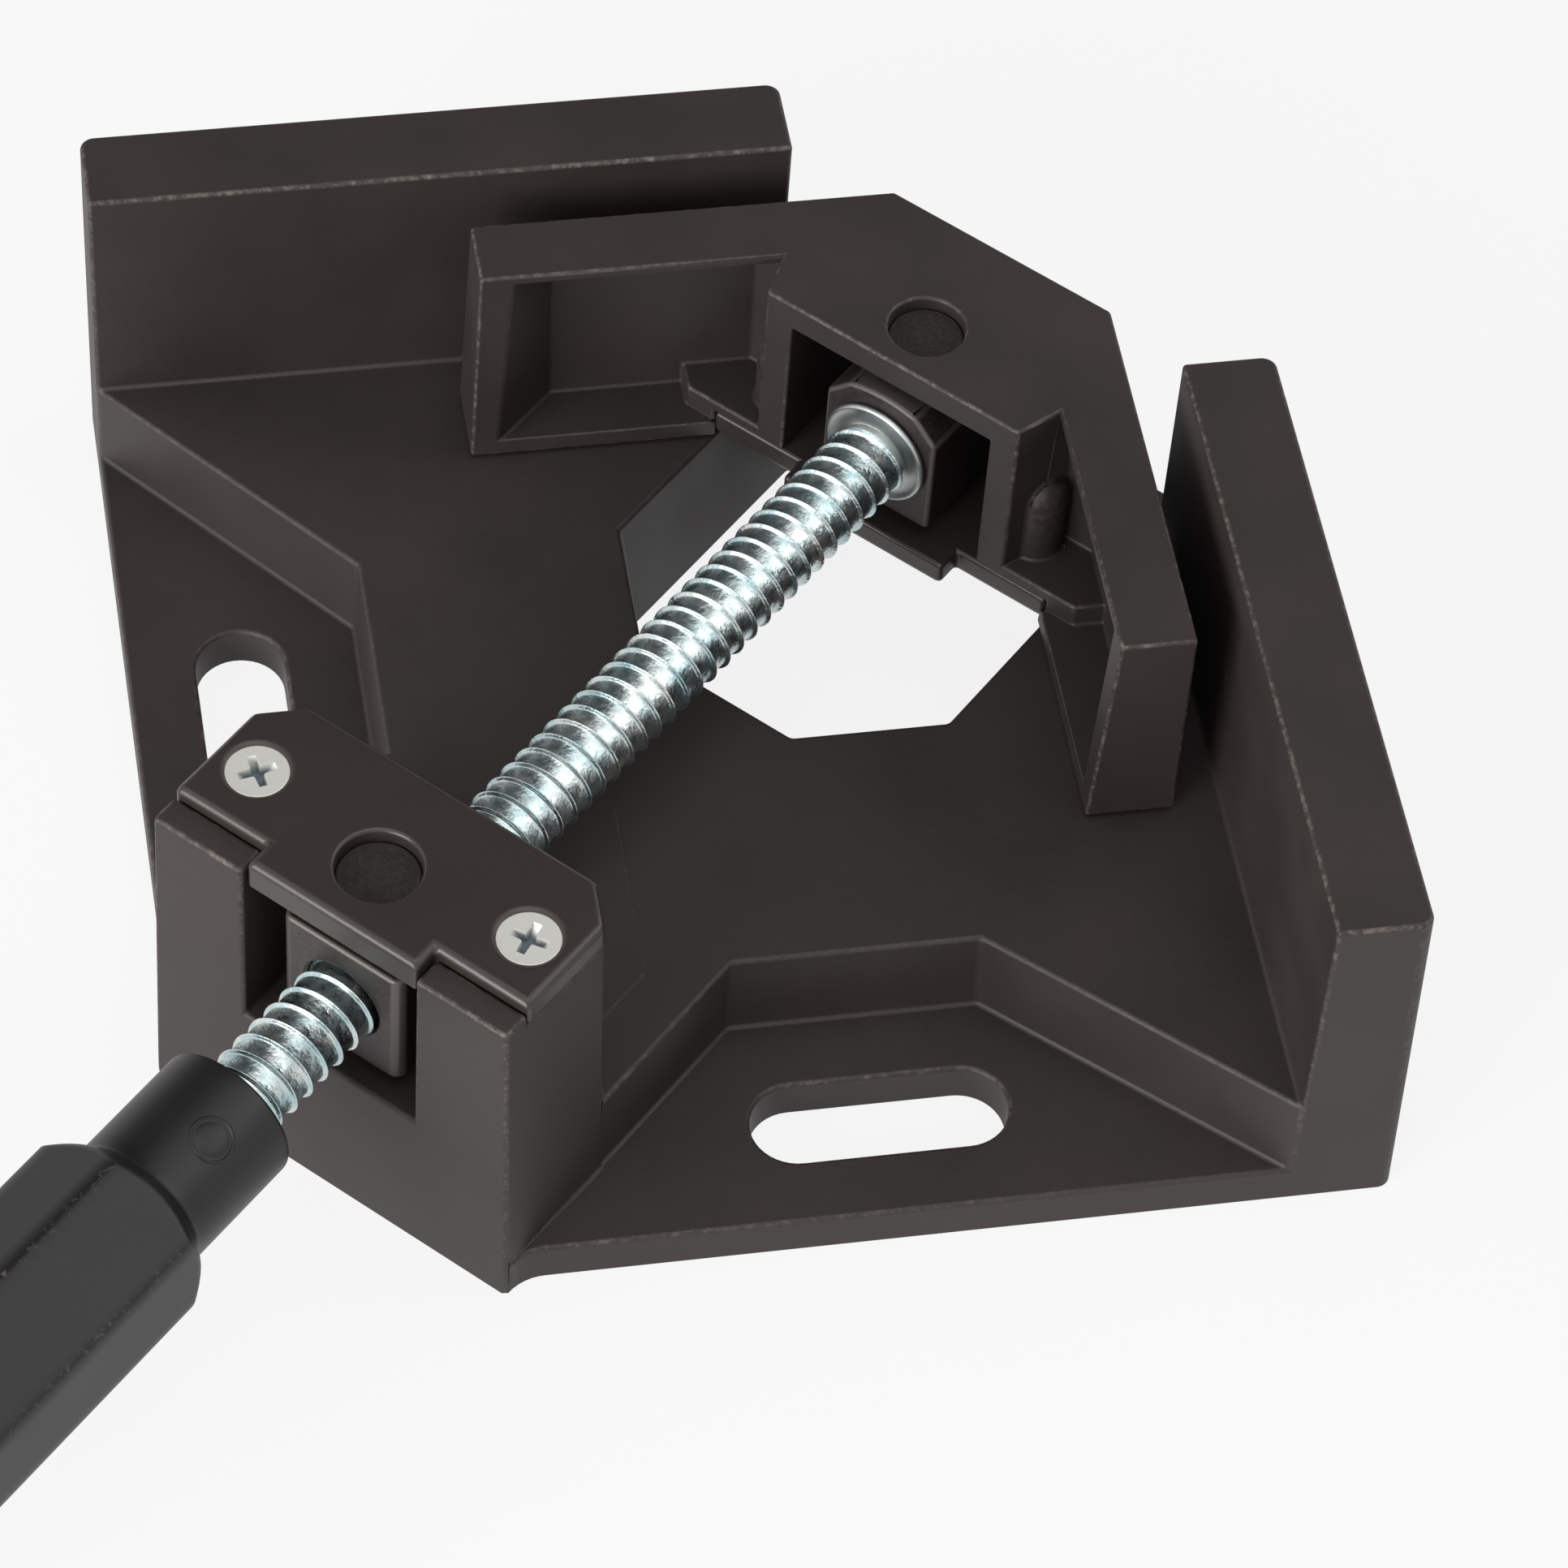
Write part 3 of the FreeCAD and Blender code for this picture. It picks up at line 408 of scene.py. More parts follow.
JAW_EDGE = 0.0005
dressed("jaw_casting", "jaw", "casting", casting_coat, JAW_EDGE)

# Cover plates. Pressed steel plates with rolled-over edges, enamelled satin black, one over the
# nut's pocket and one under the jaw. A countersunk screw holds each end.

PLATE_EDGE = 0.0006

# Satin enamel: smoother and darker than the castings, with broad soft glints. Its tone drifts
# over 17 mm, and its orange peel is 2.2 mm wide.
TONE_DRIFT, ORANGE_PEEL = 60.0, 450.0
enamel, tree = empty_material("satin black enamel on steel")
place = add(tree, "ShaderNodeTexCoord").outputs["Object"]
cloud = add(tree, "ShaderNodeTexNoise", {"Scale": TONE_DRIFT, "Detail": 2.0}, {"Vector": place})
tone = add(tree, "ShaderNodeValToRGB", {"stops": ((0.0, "#352F2C"), (1.0, "#3C3532"))},
           {"Fac": cloud.outputs["Fac"]})
peel = add(tree, "ShaderNodeTexNoise", {"Scale": ORANGE_PEEL, "Detail": 2.0}, {"Vector": place})
bumps = add(tree, "ShaderNodeBump", {"Strength": 0.12, "Distance": 0.0001},
            {"Height": peel.outputs["Fac"]})
skin = add(tree, "ShaderNodeBsdfPrincipled", {"Roughness": 0.33},
           {"Base Color": tone.outputs["Color"], "Normal": bumps.outputs[0]})
add(tree, "ShaderNodeOutputMaterial", {}, {"Surface": skin.outputs[0]})

for node, body in (("nut_cover_plate", "base"), ("jaw_cover_plate", "jaw")):
    dressed(node, body, "cover_plate", enamel, PLATE_EDGE)

# Nut block and swivel block. Sintered steel blocks, oiled black, each on an upper and a lower
# trunnion, so that the screw can swing a little and lie flat against the work.

BLOCK_EDGE = 0.0007

# Black oxide on sintered steel: dull and slightly metallic, mottled by its pores, with greyer
# edges. The pores are drawn 0.6 mm wide, coarser than the real ones, so that they show.
PORES = 1800.0
oxide, tree = empty_material("black oxide on sintered steel")
place = add(tree, "ShaderNodeTexCoord").outputs["Object"]
pores = add(tree, "ShaderNodeTexNoise", {"Scale": PORES, "Detail": 3.0, "Roughness": 0.65},
            {"Vector": place})
tone = add(tree, "ShaderNodeValToRGB", {"stops": ((0.35, "#2B2625"), (0.75, "#433C39"))},
           {"Fac": pores.outputs["Fac"]})
worn = add(tree, "ShaderNodeAttribute", {"attribute_name": "worn"})
coat = add(tree, "ShaderNodeMix", {"data_type": "RGBA", 7: linear("#6A635F")},
           {0: worn.outputs["Fac"], 6: tone.outputs["Color"]})
bumps = add(tree, "ShaderNodeBump", {"Strength": 0.25, "Distance": 0.0001},
            {"Height": pores.outputs["Fac"]})
skin = add(tree, "ShaderNodeBsdfPrincipled", {"Roughness": 0.42, "Metallic": 0.25},
           {"Base Color": coat.outputs[2], "Normal": bumps.outputs[0]})
add(tree, "ShaderNodeOutputMaterial", {}, {"Surface": skin.outputs[0]})

for node, body in (("nut_block", "nut"), ("swivel_block", "swivel")):
    dressed(node, body, "block", oxide, BLOCK_EDGE)

# Lead screw. A steel spindle with a coarse rolled thread, 3 mm in pitch, plated in clear blue
# zinc. Rolling leaves narrow round crests over wide hollow roots. The far end is a plain journal
# with a groove for the retaining ring.

PIVOT = Vector((-0.0316, -0.0316, 0.037))
to_place = Matrix.Translation(PIVOT) @ Matrix.Rotation(math.radians(45), 4, "Z")
THREAD_START = -0.1560
THREAD_END = -0.01165
THREAD_SIZES = {
    "Length": THREAD_END - THREAD_START,
    "Pitch": 0.003,
    "Crest radius": 0.0057,
    "Depth": 0.0006,
    "Crest width": 0.075,
    "Hollow": 0.9,
    "Steps along": 1700,
    "Steps round": 49,
}
CHAMFER_LENGTH, CHAMFER_RADIUS = 0.0006, 0.0050
NECK_RADIUS = 0.0046
JOURNAL_RADIUS = 0.0040
GROOVE_RADIUS = 0.0032
TIP_RADIUS = 0.0034
GROOVE_START, GROOVE_END, JOURNAL_END, TIP_END = 0.00985, 0.01105, 0.01165, 0.01225
TURNED_CORNER = math.radians(40)
SAME_POINT = 1e-7

# Blue zinc plate on rolled steel: a bright metal with a cold blue cast, dulled and dented by
# rolling. The cast drifts over 4.5 mm, and the dents are 1.3 mm wide.
BLUE_DRIFT, DENTS = 220.0, 750.0
zinc, tree = empty_material("blue zinc plate on rolled steel")
place = add(tree, "ShaderNodeTexCoord").outputs["Object"]
tint = add(tree, "ShaderNodeTexNoise", {"Scale": BLUE_DRIFT, "Detail": 3.0, "Roughness": 0.6},
           {"Vector": place})
tone = add(tree, "ShaderNodeValToRGB", {"stops": ((0.3, "#A9C4C9"), (0.7, "#E0E4E1"))},
           {"Fac": tint.outputs["Fac"]})
dents = add(tree, "ShaderNodeTexNoise", {"Scale": DENTS, "Detail": 3.0, "Roughness": 0.6},
            {"Vector": place})
rough = add(tree, "ShaderNodeMapRange",
            {"From Min": 0.3, "From Max": 0.7, "To Min": 0.2, "To Max": 0.4},
            {"Value": dents.outputs["Fac"]})
bumps = add(tree, "ShaderNodeBump", {"Strength": 0.85, "Distance": 0.0002},
            {"Height": dents.outputs["Fac"]})
skin = add(tree, "ShaderNodeBsdfPrincipled", {"Metallic": 1.0},
           {"Base Color": tone.outputs["Color"], "Roughness": rough.outputs[0],
            "Normal": bumps.outputs[0]})
add(tree, "ShaderNodeOutputMaterial", {}, {"Surface": skin.outputs[0]})


def shape_tree(name, inputs):
    """A Geometry Nodes tree with named inputs and one output, and the sockets of those inputs."""
    tree = bpy.data.node_groups.new(name, "GeometryNodeTree")
    for label, kind in inputs.items():
        tree.interface.new_socket(label, in_out="INPUT", socket_type="NodeSocket" + kind)
    tree.interface.new_socket("Geometry", in_out="OUTPUT", socket_type="NodeSocketGeometry")
    return tree, add(tree, "NodeGroupInput").outputs


def end_tree(tree, shape, finish):
    """Makes a tree's instances real, gives them their finish and hands them out."""
    real = add(tree, "GeometryNodeRealizeInstances", {}, {"Geometry": shape})
    plated = add(tree, "GeometryNodeSetMaterial", {},
                 {"Geometry": real.outputs[0], "Material": finish})
    add(tree, "NodeGroupOutput", {}, {"Geometry": plated.outputs[0]})


def grown(tree, name, values, start=None):
    """Runs a Geometry Nodes tree, on a start mesh where it needs one, and keeps the plain mesh."""
    piece = put(name, start or bpy.data.meshes.new(name))
    maker = piece.modifiers.new(tree.name, "NODES")
    maker.node_group = tree
    for item in tree.interface.items_tree:
        if item.in_out == "INPUT" and item.name in values:
            maker[item.identifier] = values[item.name]
    return settled(piece)


thread_tree, sizes = shape_tree("rolled thread", {
    "Length": "Float", "Pitch": "Float", "Crest radius": "Float", "Depth": "Float",
    "Crest width": "Float", "Hollow": "Float", "Steps along": "Int", "Steps round": "Int",
    "Finish": "Material"})

# A sheet, one turn wide, is rolled round the axis. Each point's share of a turn from the nearest
# crest gives its radius: a narrow bell for the crest, or the shallow hollow of the root.
sheet = add(thread_tree, "GeometryNodeMeshGrid", {"Size Y": 1.0},
            {"Size X": sizes["Length"], "Vertices X": sizes["Steps along"],
             "Vertices Y": sizes["Steps round"]})
place = add(thread_tree, "GeometryNodeInputPosition")
spot = add(thread_tree, "ShaderNodeSeparateXYZ", {}, {0: place.outputs[0]})
round_share = add(thread_tree, "ShaderNodeMath", {"operation": "ADD", 1: 0.5},
                  {0: spot.outputs["Y"]})
pitches = add(thread_tree, "ShaderNodeMath", {"operation": "DIVIDE"},
              {0: spot.outputs["X"], 1: sizes["Pitch"]})
turns = add(thread_tree, "ShaderNodeMath", {"operation": "SUBTRACT"},
            {0: pitches.outputs[0], 1: round_share.outputs[0]})
turn_share = add(thread_tree, "ShaderNodeMath", {"operation": "FRACT"}, {0: turns.outputs[0]})
past_crest = add(thread_tree, "ShaderNodeMath", {"operation": "SUBTRACT", 1: 0.5},
                 {0: turn_share.outputs[0]})
from_crest = add(thread_tree, "ShaderNodeMath", {"operation": "ABSOLUTE"},
                 {0: past_crest.outputs[0]})
widths = add(thread_tree, "ShaderNodeMath", {"operation": "DIVIDE"},
             {0: from_crest.outputs[0], 1: sizes["Crest width"]})
spread = add(thread_tree, "ShaderNodeMath", {"operation": "POWER", 1: 2.0}, {0: widths.outputs[0]})
falling = add(thread_tree, "ShaderNodeMath", {"operation": "MULTIPLY", 1: -1.0},
              {0: spread.outputs[0]})
crest = add(thread_tree, "ShaderNodeMath", {"operation": "POWER", 0: 2.718},
            {1: falling.outputs[0]})
from_root = add(thread_tree, "ShaderNodeMath", {"operation": "SUBTRACT", 0: 0.5},
                {1: from_crest.outputs[0]})
bowl = add(thread_tree, "ShaderNodeMath", {"operation": "POWER", 1: 2.0},
           {0: from_root.outputs[0]})
hollow = add(thread_tree, "ShaderNodeMath", {"operation": "MULTIPLY"},
             {0: bowl.outputs[0], 1: sizes["Hollow"]})
height = add(thread_tree, "ShaderNodeMath", {"operation": "MAXIMUM"},
             {0: crest.outputs[0], 1: hollow.outputs[0]})
below = add(thread_tree, "ShaderNodeMath", {"operation": "SUBTRACT", 1: 1.0},
            {0: height.outputs[0]})
dip = add(thread_tree, "ShaderNodeMath", {"operation": "MULTIPLY"},
          {0: below.outputs[0], 1: sizes["Depth"]})
radius = add(thread_tree, "ShaderNodeMath", {"operation": "ADD"},
             {0: sizes["Crest radius"], 1: dip.outputs[0]})
angle = add(thread_tree, "ShaderNodeMath", {"operation": "MULTIPLY", 1: math.tau},
            {0: round_share.outputs[0]})
cosine = add(thread_tree, "ShaderNodeMath", {"operation": "COSINE"}, {0: angle.outputs[0]})
sine = add(thread_tree, "ShaderNodeMath", {"operation": "SINE"}, {0: angle.outputs[0]})
across = add(thread_tree, "ShaderNodeMath", {"operation": "MULTIPLY"},
             {0: radius.outputs[0], 1: cosine.outputs[0]})
above = add(thread_tree, "ShaderNodeMath", {"operation": "MULTIPLY"},
            {0: radius.outputs[0], 1: sine.outputs[0]})
rolled = add(thread_tree, "ShaderNodeCombineXYZ", {},
             {"X": spot.outputs["X"], "Y": across.outputs[0], "Z": above.outputs[0]})
shaped = add(thread_tree, "GeometryNodeSetPosition", {},
             {"Geometry": sheet.outputs["Mesh"], "Position": rolled.outputs[0]})
closed = add(thread_tree, "GeometryNodeMergeByDistance", {"Distance": 1e-6},
             {"Geometry": shaped.outputs[0]})
smooth = add(thread_tree, "GeometryNodeSetShadeSmooth", {}, {"Geometry": closed.outputs[0]})
end_tree(thread_tree, smooth.outputs[0], sizes["Finish"])


def facing_out(mesh, merged=0.0):
    """Merges points closer than merged, if that is given, and points every face outwards."""
    work = bmesh.new()
    work.from_mesh(mesh)
    if merged:
        bmesh.ops.remove_doubles(work, verts=work.verts, dist=merged)
    bmesh.ops.recalc_face_normals(work, faces=work.faces)
    work.to_mesh(mesh)
    work.free()


def skinned(name, rings):
    """A mesh over rings of points, each a full turn or a single pole.

    An open end is capped, and a last ring that repeats the first closes the skin on itself.
    """
    verts, faces, spans = [], [], []
    for ring in rings:
        spans.append(range(len(verts), len(verts) + len(ring)))
        verts += ring
    for here, there in zip(spans, spans[1:]):
        steps = max(len(here), len(there))
        for step in range(steps):
            after = (step + 1) % steps
            faces.append(tuple(dict.fromkeys((
                here[step % len(here)], there[step % len(there)],
                there[after % len(there)], here[after % len(here)]))))
    if rings[0] != rings[-1]:
        faces += [tuple(span) for span in (spans[0], spans[-1]) if len(span) > 1]
    mesh = bpy.data.meshes.new(name)
    mesh.from_pydata(verts, [], faces)
    facing_out(mesh, SAME_POINT)
    return mesh


def on_screw(mesh, corner=None, tilt=0.0):
    """Puts a mesh from the X axis on the screw's, smooth but for edges past a corner's angle."""
    mesh.transform(to_place @ Matrix.Rotation(tilt, 4, "X"))
    mesh.shade_smooth()
    if corner is not None:
        mesh.set_sharp_from_angle(angle=corner)
    return mesh


def lathe(name, profile, steps=64):
    """A turned solid on the screw's axis, from (x, radius) corners."""
    around = [math.tau * step / steps for step in range(steps)]
    rings = [[(x, radius * math.cos(a), radius * math.sin(a)) for a in around]
             if radius else [(x, 0, 0)] for x, radius in profile]
    return put(name, on_screw(skinned(name, rings), TURNED_CORNER))


thread = grown(thread_tree, "lead_screw_thread", {**THREAD_SIZES, "Finish": zinc})
thread_middle = Matrix.Translation(((THREAD_START + THREAD_END) / 2, 0, 0))
thread.data.transform(to_place @ thread_middle)
facing_out(thread.data)
fit(thread, "screw", "screw", "lead_screw")

journal = lathe("lead_screw_journal", [
    (THREAD_END - CHAMFER_LENGTH, 0), (THREAD_END - CHAMFER_LENGTH, CHAMFER_RADIUS),
    (THREAD_END, NECK_RADIUS), (THREAD_END, JOURNAL_RADIUS),
    (GROOVE_START, JOURNAL_RADIUS), (GROOVE_START, GROOVE_RADIUS),
    (GROOVE_END, GROOVE_RADIUS), (GROOVE_END, JOURNAL_RADIUS), (JOURNAL_END, JOURNAL_RADIUS),
    (TIP_END, TIP_RADIUS), (TIP_END, 0)])
journal.data.materials.append(zinc)
fit(journal, "screw", "screw")

# Thrust washer. A turned flange washer with a flat face, a rounded rim and a low boss, nickel
# plated and brighter than the screw. It takes the push between the thread's end and the swivel
# block.

WASHER_STEPS = 96
WASHER_BORE = 0.00405
WASHER_BACK = -0.00965
WASHER_FRONT = -0.01165
RIM_MIDDLE, RIM_RADIUS, RIM_ROUND = -0.01015, 0.0074, 0.0005
WASHER_FACE = [(-0.01052, 0.0071), (-0.01040, 0.0067), (-0.01040, 0.0052), (-0.01060, 0.0049)]
BOSS_RADIUS = 0.0048

# Nickel plate on turned steel: a plain bright grey metal with soft blurred reflections. Its film
# varies over 3.3 mm.
PLATE_FILM = 300.0
washer_plate, tree = empty_material("bright nickel plate on turned steel")
place = add(tree, "ShaderNodeTexCoord").outputs["Object"]
film = add(tree, "ShaderNodeTexNoise", {"Scale": PLATE_FILM, "Detail": 2.0}, {"Vector": place})
rough = add(tree, "ShaderNodeMapRange", {"To Min": 0.3, "To Max": 0.44},
            {"Value": film.outputs["Fac"]})
tone = add(tree, "ShaderNodeValToRGB", {"stops": ((0.0, "#A9AFAF"), (1.0, "#C2C5C3"))},
           {"Fac": film.outputs["Fac"]})
skin = add(tree, "ShaderNodeBsdfPrincipled", {"Metallic": 1.0},
           {"Base Color": tone.outputs["Color"], "Roughness": rough.outputs[0]})
add(tree, "ShaderNodeOutputMaterial", {}, {"Surface": skin.outputs[0]})

rim = [(RIM_MIDDLE - RIM_ROUND * math.cos(a), RIM_RADIUS + RIM_ROUND * math.sin(a))
       for a in np.linspace(math.pi, 0, 13)]
washer = lathe("thrust_washer_turned", [
    (WASHER_BACK, WASHER_BORE), (WASHER_BACK, RIM_RADIUS), *rim, *WASHER_FACE,
    (WASHER_FRONT, BOSS_RADIUS), (WASHER_FRONT, WASHER_BORE), (WASHER_BACK, WASHER_BORE)],
    WASHER_STEPS)
washer.data.materials.append(washer_plate)
fit(washer, "screw", "washer", "thrust_washer")

# Rear washer and retaining ring. Plain stamped steel behind the swivel block, hardly seen from
# outside. They keep their CAD shape and take the plate of the washer and the oxide of the blocks.

for node, finish in (("rear_washer", washer_plate), ("retaining_ring", oxide)):
    nodes[node].data.materials.clear()
    nodes[node].data.materials.append(finish)

# Cover screws. Steel M4 countersunk screws with a cross recess, plated pale zinc, driven flush
# into the two plates. One screw is made and Geometry Nodes set it at each hole, turned to where
# driving left it.

SCREW_STEPS = 48
HEAD_RADIUS = 0.00408
HEAD_DEPTH = 0.0022
HEAD_DROP = 0.00012
SHANK_RADIUS = 0.0020
SHANK_END = 0.0128
RIM_PROFILE = [(HEAD_RADIUS - 0.00012, 0.0), (HEAD_RADIUS, -0.00010), (HEAD_RADIUS, -0.00028),
               (SHANK_RADIUS, -HEAD_DEPTH), (SHANK_RADIUS, -SHANK_END)]
ARM_REACH = 0.0025
ARM_HALF = 0.00062
ARM_TAPER = 0.9
NOTCH_OUT, NOTCH_IN = 1.5, 1.12
RECESS_DEPTH = 0.0016
BOTTOM_REACH, BOTTOM_HALF = 0.52, 0.8
SCREW_CORNER = math.radians(30)

# Pale zinc plate: nearly white, slightly warm, with a soft shine, and its recess painted dark as
# shade.
# Its film varies over 0.7 mm.
SCREW_FILM = 1400.0
screw_plate, tree = empty_material("pale zinc plate on steel screws")
place = add(tree, "ShaderNodeTexCoord").outputs["Object"]
film = add(tree, "ShaderNodeTexNoise", {"Scale": SCREW_FILM, "Detail": 2.0}, {"Vector": place})
rough = add(tree, "ShaderNodeMapRange", {"To Min": 0.34, "To Max": 0.48},
            {"Value": film.outputs["Fac"]})
bumps = add(tree, "ShaderNodeBump", {"Strength": 0.15, "Distance": 0.0001},
            {"Height": film.outputs["Fac"]})
# Painted shade: the recess is coloured darker and bluish from its mouth down to its bottom.
painted_recess_shade = add(tree, "ShaderNodeAttribute", {"attribute_name": "recess"})
tone = add(tree, "ShaderNodeMix",
           {"data_type": "RGBA", 6: linear("#EDECE5"), 7: linear("#7C8890")},
           {0: painted_recess_shade.outputs["Fac"]})
skin = add(tree, "ShaderNodeBsdfPrincipled", {"Metallic": 0.3},
           {"Base Color": tone.outputs[2], "Roughness": rough.outputs[0],
            "Normal": bumps.outputs[0]})
add(tree, "ShaderNodeOutputMaterial", {}, {"Surface": skin.outputs[0]})


def cross(reach, half, level):
    """The corners of a cross, anticlockwise, with small notches between its arms."""
    arm = ((reach, -half * ARM_TAPER), (reach, half * ARM_TAPER), (half * NOTCH_OUT, half),
           (half * NOTCH_IN, half * NOTCH_IN), (half, half * NOTCH_OUT))
    return [Matrix.Rotation(quarter * math.pi / 2, 3, "Z") @ Vector((x, y, level))
            for quarter in range(4) for x, y in arm]


def cross_head_screw():
    """The screw as a mesh, its face at z=0 and its shank hanging down."""
    work = bmesh.new()
    painted_recess_shade = work.verts.layers.float.new("recess")
    around = [math.tau * step / SCREW_STEPS for step in range(SCREW_STEPS)]
    rings = [[work.verts.new((radius * math.cos(a), radius * math.sin(a), z)) for a in around]
             for radius, z in RIM_PROFILE]
    mouth = [work.verts.new(p) for p in cross(ARM_REACH, ARM_HALF, 0.0)]
    bottom = [work.verts.new(p) for p in cross(ARM_REACH * BOTTOM_REACH, ARM_HALF * BOTTOM_HALF,
                                               -RECESS_DEPTH)]
    # The recess's bottom is marked 1 for the painted shade that darkens the recess towards it.
    for vert in bottom:
        vert[painted_recess_shade] = 1.0
    for here, there in [*zip(rings, rings[1:]), (mouth, bottom)]:
        for i in range(len(here)):
            work.faces.new((here[i - 1], there[i - 1], there[i], here[i]))
    work.faces.new(rings[-1])
    work.faces.new(bottom)
    edges = [work.edges.get((loop[i - 1], loop[i])) for loop in (rings[0], mouth)
             for i in range(len(loop))]
    bmesh.ops.triangle_fill(work, edges=edges, use_beauty=True)
    bmesh.ops.recalc_face_normals(work, faces=work.faces)
    mesh = bpy.data.meshes.new("cross head screw")
    work.to_mesh(mesh)
    work.free()
    mesh.shade_smooth()
    mesh.set_sharp_from_angle(angle=SCREW_CORNER)
    return mesh


master = put("cross head screw", cross_head_screw())
screw_tree, sizes = shape_tree("screws at points", {
    "Geometry": "Geometry", "Screw": "Object", "Flip": "Float", "Finish": "Material"})
shape = add(screw_tree, "GeometryNodeObjectInfo", {}, {"Object": sizes["Screw"]})
twist = add(screw_tree, "GeometryNodeInputNamedAttribute", {"data_type": "FLOAT", "Name": "twist"})
facing = add(screw_tree, "ShaderNodeCombineXYZ", {},
             {"X": sizes["Flip"], "Z": twist.outputs["Attribute"]})
turned = add(screw_tree, "FunctionNodeEulerToRotation", {}, {0: facing.outputs[0]})
placed = add(screw_tree, "GeometryNodeInstanceOnPoints", {},
             {"Points": sizes["Geometry"], "Instance": shape.outputs["Geometry"],
              "Rotation": turned.outputs[0]})
end_tree(screw_tree, placed.outputs[0], sizes["Finish"])


def head_place(node, above):
    """The middle of a screw's head: its node's middle, at the level of its face."""
    low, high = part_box(node)
    return ((low.x + high.x) / 2, (low.y + high.y) / 2,
            high.z - HEAD_DROP if above else low.z + HEAD_DROP)


def cover_screws(name, body, above, twists):
    """One plain mesh of the screws in a plate, from each screw's node and its twist in degrees."""
    points = bpy.data.meshes.new(name)
    points.from_pydata([head_place(node, above) for node in twists], [], [])
    mark(points, "twist", [math.radians(angle) for angle in twists.values()])
    piece = grown(screw_tree, name, {
        "Screw": master, "Flip": 0.0 if above else math.pi, "Finish": screw_plate}, points)
    fit(piece, body, "cover_screw", *twists)


cover_screws("nut_cover_screws", "base", True,
             {"nut_cover_screw_left": 13, "nut_cover_screw_right": 56})
cover_screws("jaw_cover_screws", "jaw", False,
             {"jaw_cover_screw_left": 15, "jaw_cover_screw_right": 38})
bpy.data.objects.remove(master)

# Handle. One moulding in black ABS: a round collar over the screw's end and a six-sided grip
# with soft edges, cut back by a cone at both ends. The mould's grain is fine and satin.

HANDLE_STEPS = 180
HANDLE_RIM = -0.1470
BORE = 0.00575
BORE_SHOWN = 0.004
BORE_CHAMFER = 0.0003
COLLAR_RADIUS = 0.0095
COLLAR_ROUND = 0.0006
SHOULDER = HANDLE_RIM - 0.0183
BLEND = [(0.0008, 0.00003), (0.0004, 0.00015), (0.0001, 0.0004), (-0.0003, 0.0009)]
CONE_SLOPE = 1.1
GRIP_APOTHEM = 0.0118
GRIP_TURNED = 0.0133
GRIP_SOFTNESS = 0.0007
GRIP_END = SHOULDER - 0.078
END_CONE = 0.005
END_ROUND = 0.002
END_FLAT = GRIP_TURNED - 0.005828
WORN_WIDTH = math.radians(2.4)
WORN_START, WORN_END = SHOULDER - 0.003, GRIP_END + 0.004
HANDLE_CORNER = math.radians(50)

# Moulded black ABS: a neutral black with a soft wide sheen and pale flecks along its corners.
# Its tone drifts over 18 mm, its grain is drawn 1.1 mm wide, coarser than the real one so that
# it shows, and its flecks are 0.9 mm wide.
ABS_DRIFT, ABS_GRAIN, ABS_FLECKS = 55.0, 900.0, 1100.0
moulded, tree = empty_material("moulded black ABS")
place = add(tree, "ShaderNodeTexCoord").outputs["Object"]
cloud = add(tree, "ShaderNodeTexNoise", {"Scale": ABS_DRIFT, "Detail": 2.0}, {"Vector": place})
tone = add(tree, "ShaderNodeValToRGB", {"stops": ((0.0, "#191717"), (1.0, "#201E1E"))},
           {"Fac": cloud.outputs["Fac"]})
worn = add(tree, "ShaderNodeAttribute", {"attribute_name": "worn"})
nicks = add(tree, "ShaderNodeTexNoise", {"Scale": ABS_FLECKS, "Detail": 3.0, "Roughness": 0.7},
            {"Vector": place})
ragged = add(tree, "ShaderNodeMapRange", {"From Min": 0.55, "From Max": 0.75},
             {"Value": nicks.outputs["Fac"]})
rub = add(tree, "ShaderNodeMath", {"operation": "MULTIPLY", "use_clamp": True},
          {0: worn.outputs["Fac"], 1: ragged.outputs[0]})
plastic = add(tree, "ShaderNodeMix", {"data_type": "RGBA", 7: linear("#7A7472")},
              {0: rub.outputs[0], 6: tone.outputs["Color"]})
rough = add(tree, "ShaderNodeMapRange", {"To Min": 0.36, "To Max": 0.48},
            {"Value": cloud.outputs["Fac"]})
leather = add(tree, "ShaderNodeTexNoise", {"Scale": ABS_GRAIN, "Detail": 2.0}, {"Vector": place})
bumps = add(tree, "ShaderNodeBump", {"Strength": 0.12, "Distance": 0.0001},
            {"Height": leather.outputs["Fac"]})
skin = add(tree, "ShaderNodeBsdfPrincipled", {"IOR": 1.53, "Specular IOR Level": 0.38},
           {"Base Color": plastic.outputs[2], "Roughness": rough.outputs[0],
            "Normal": bumps.outputs[0]})
add(tree, "ShaderNodeOutputMaterial", {}, {"Surface": skin.outputs[0]})


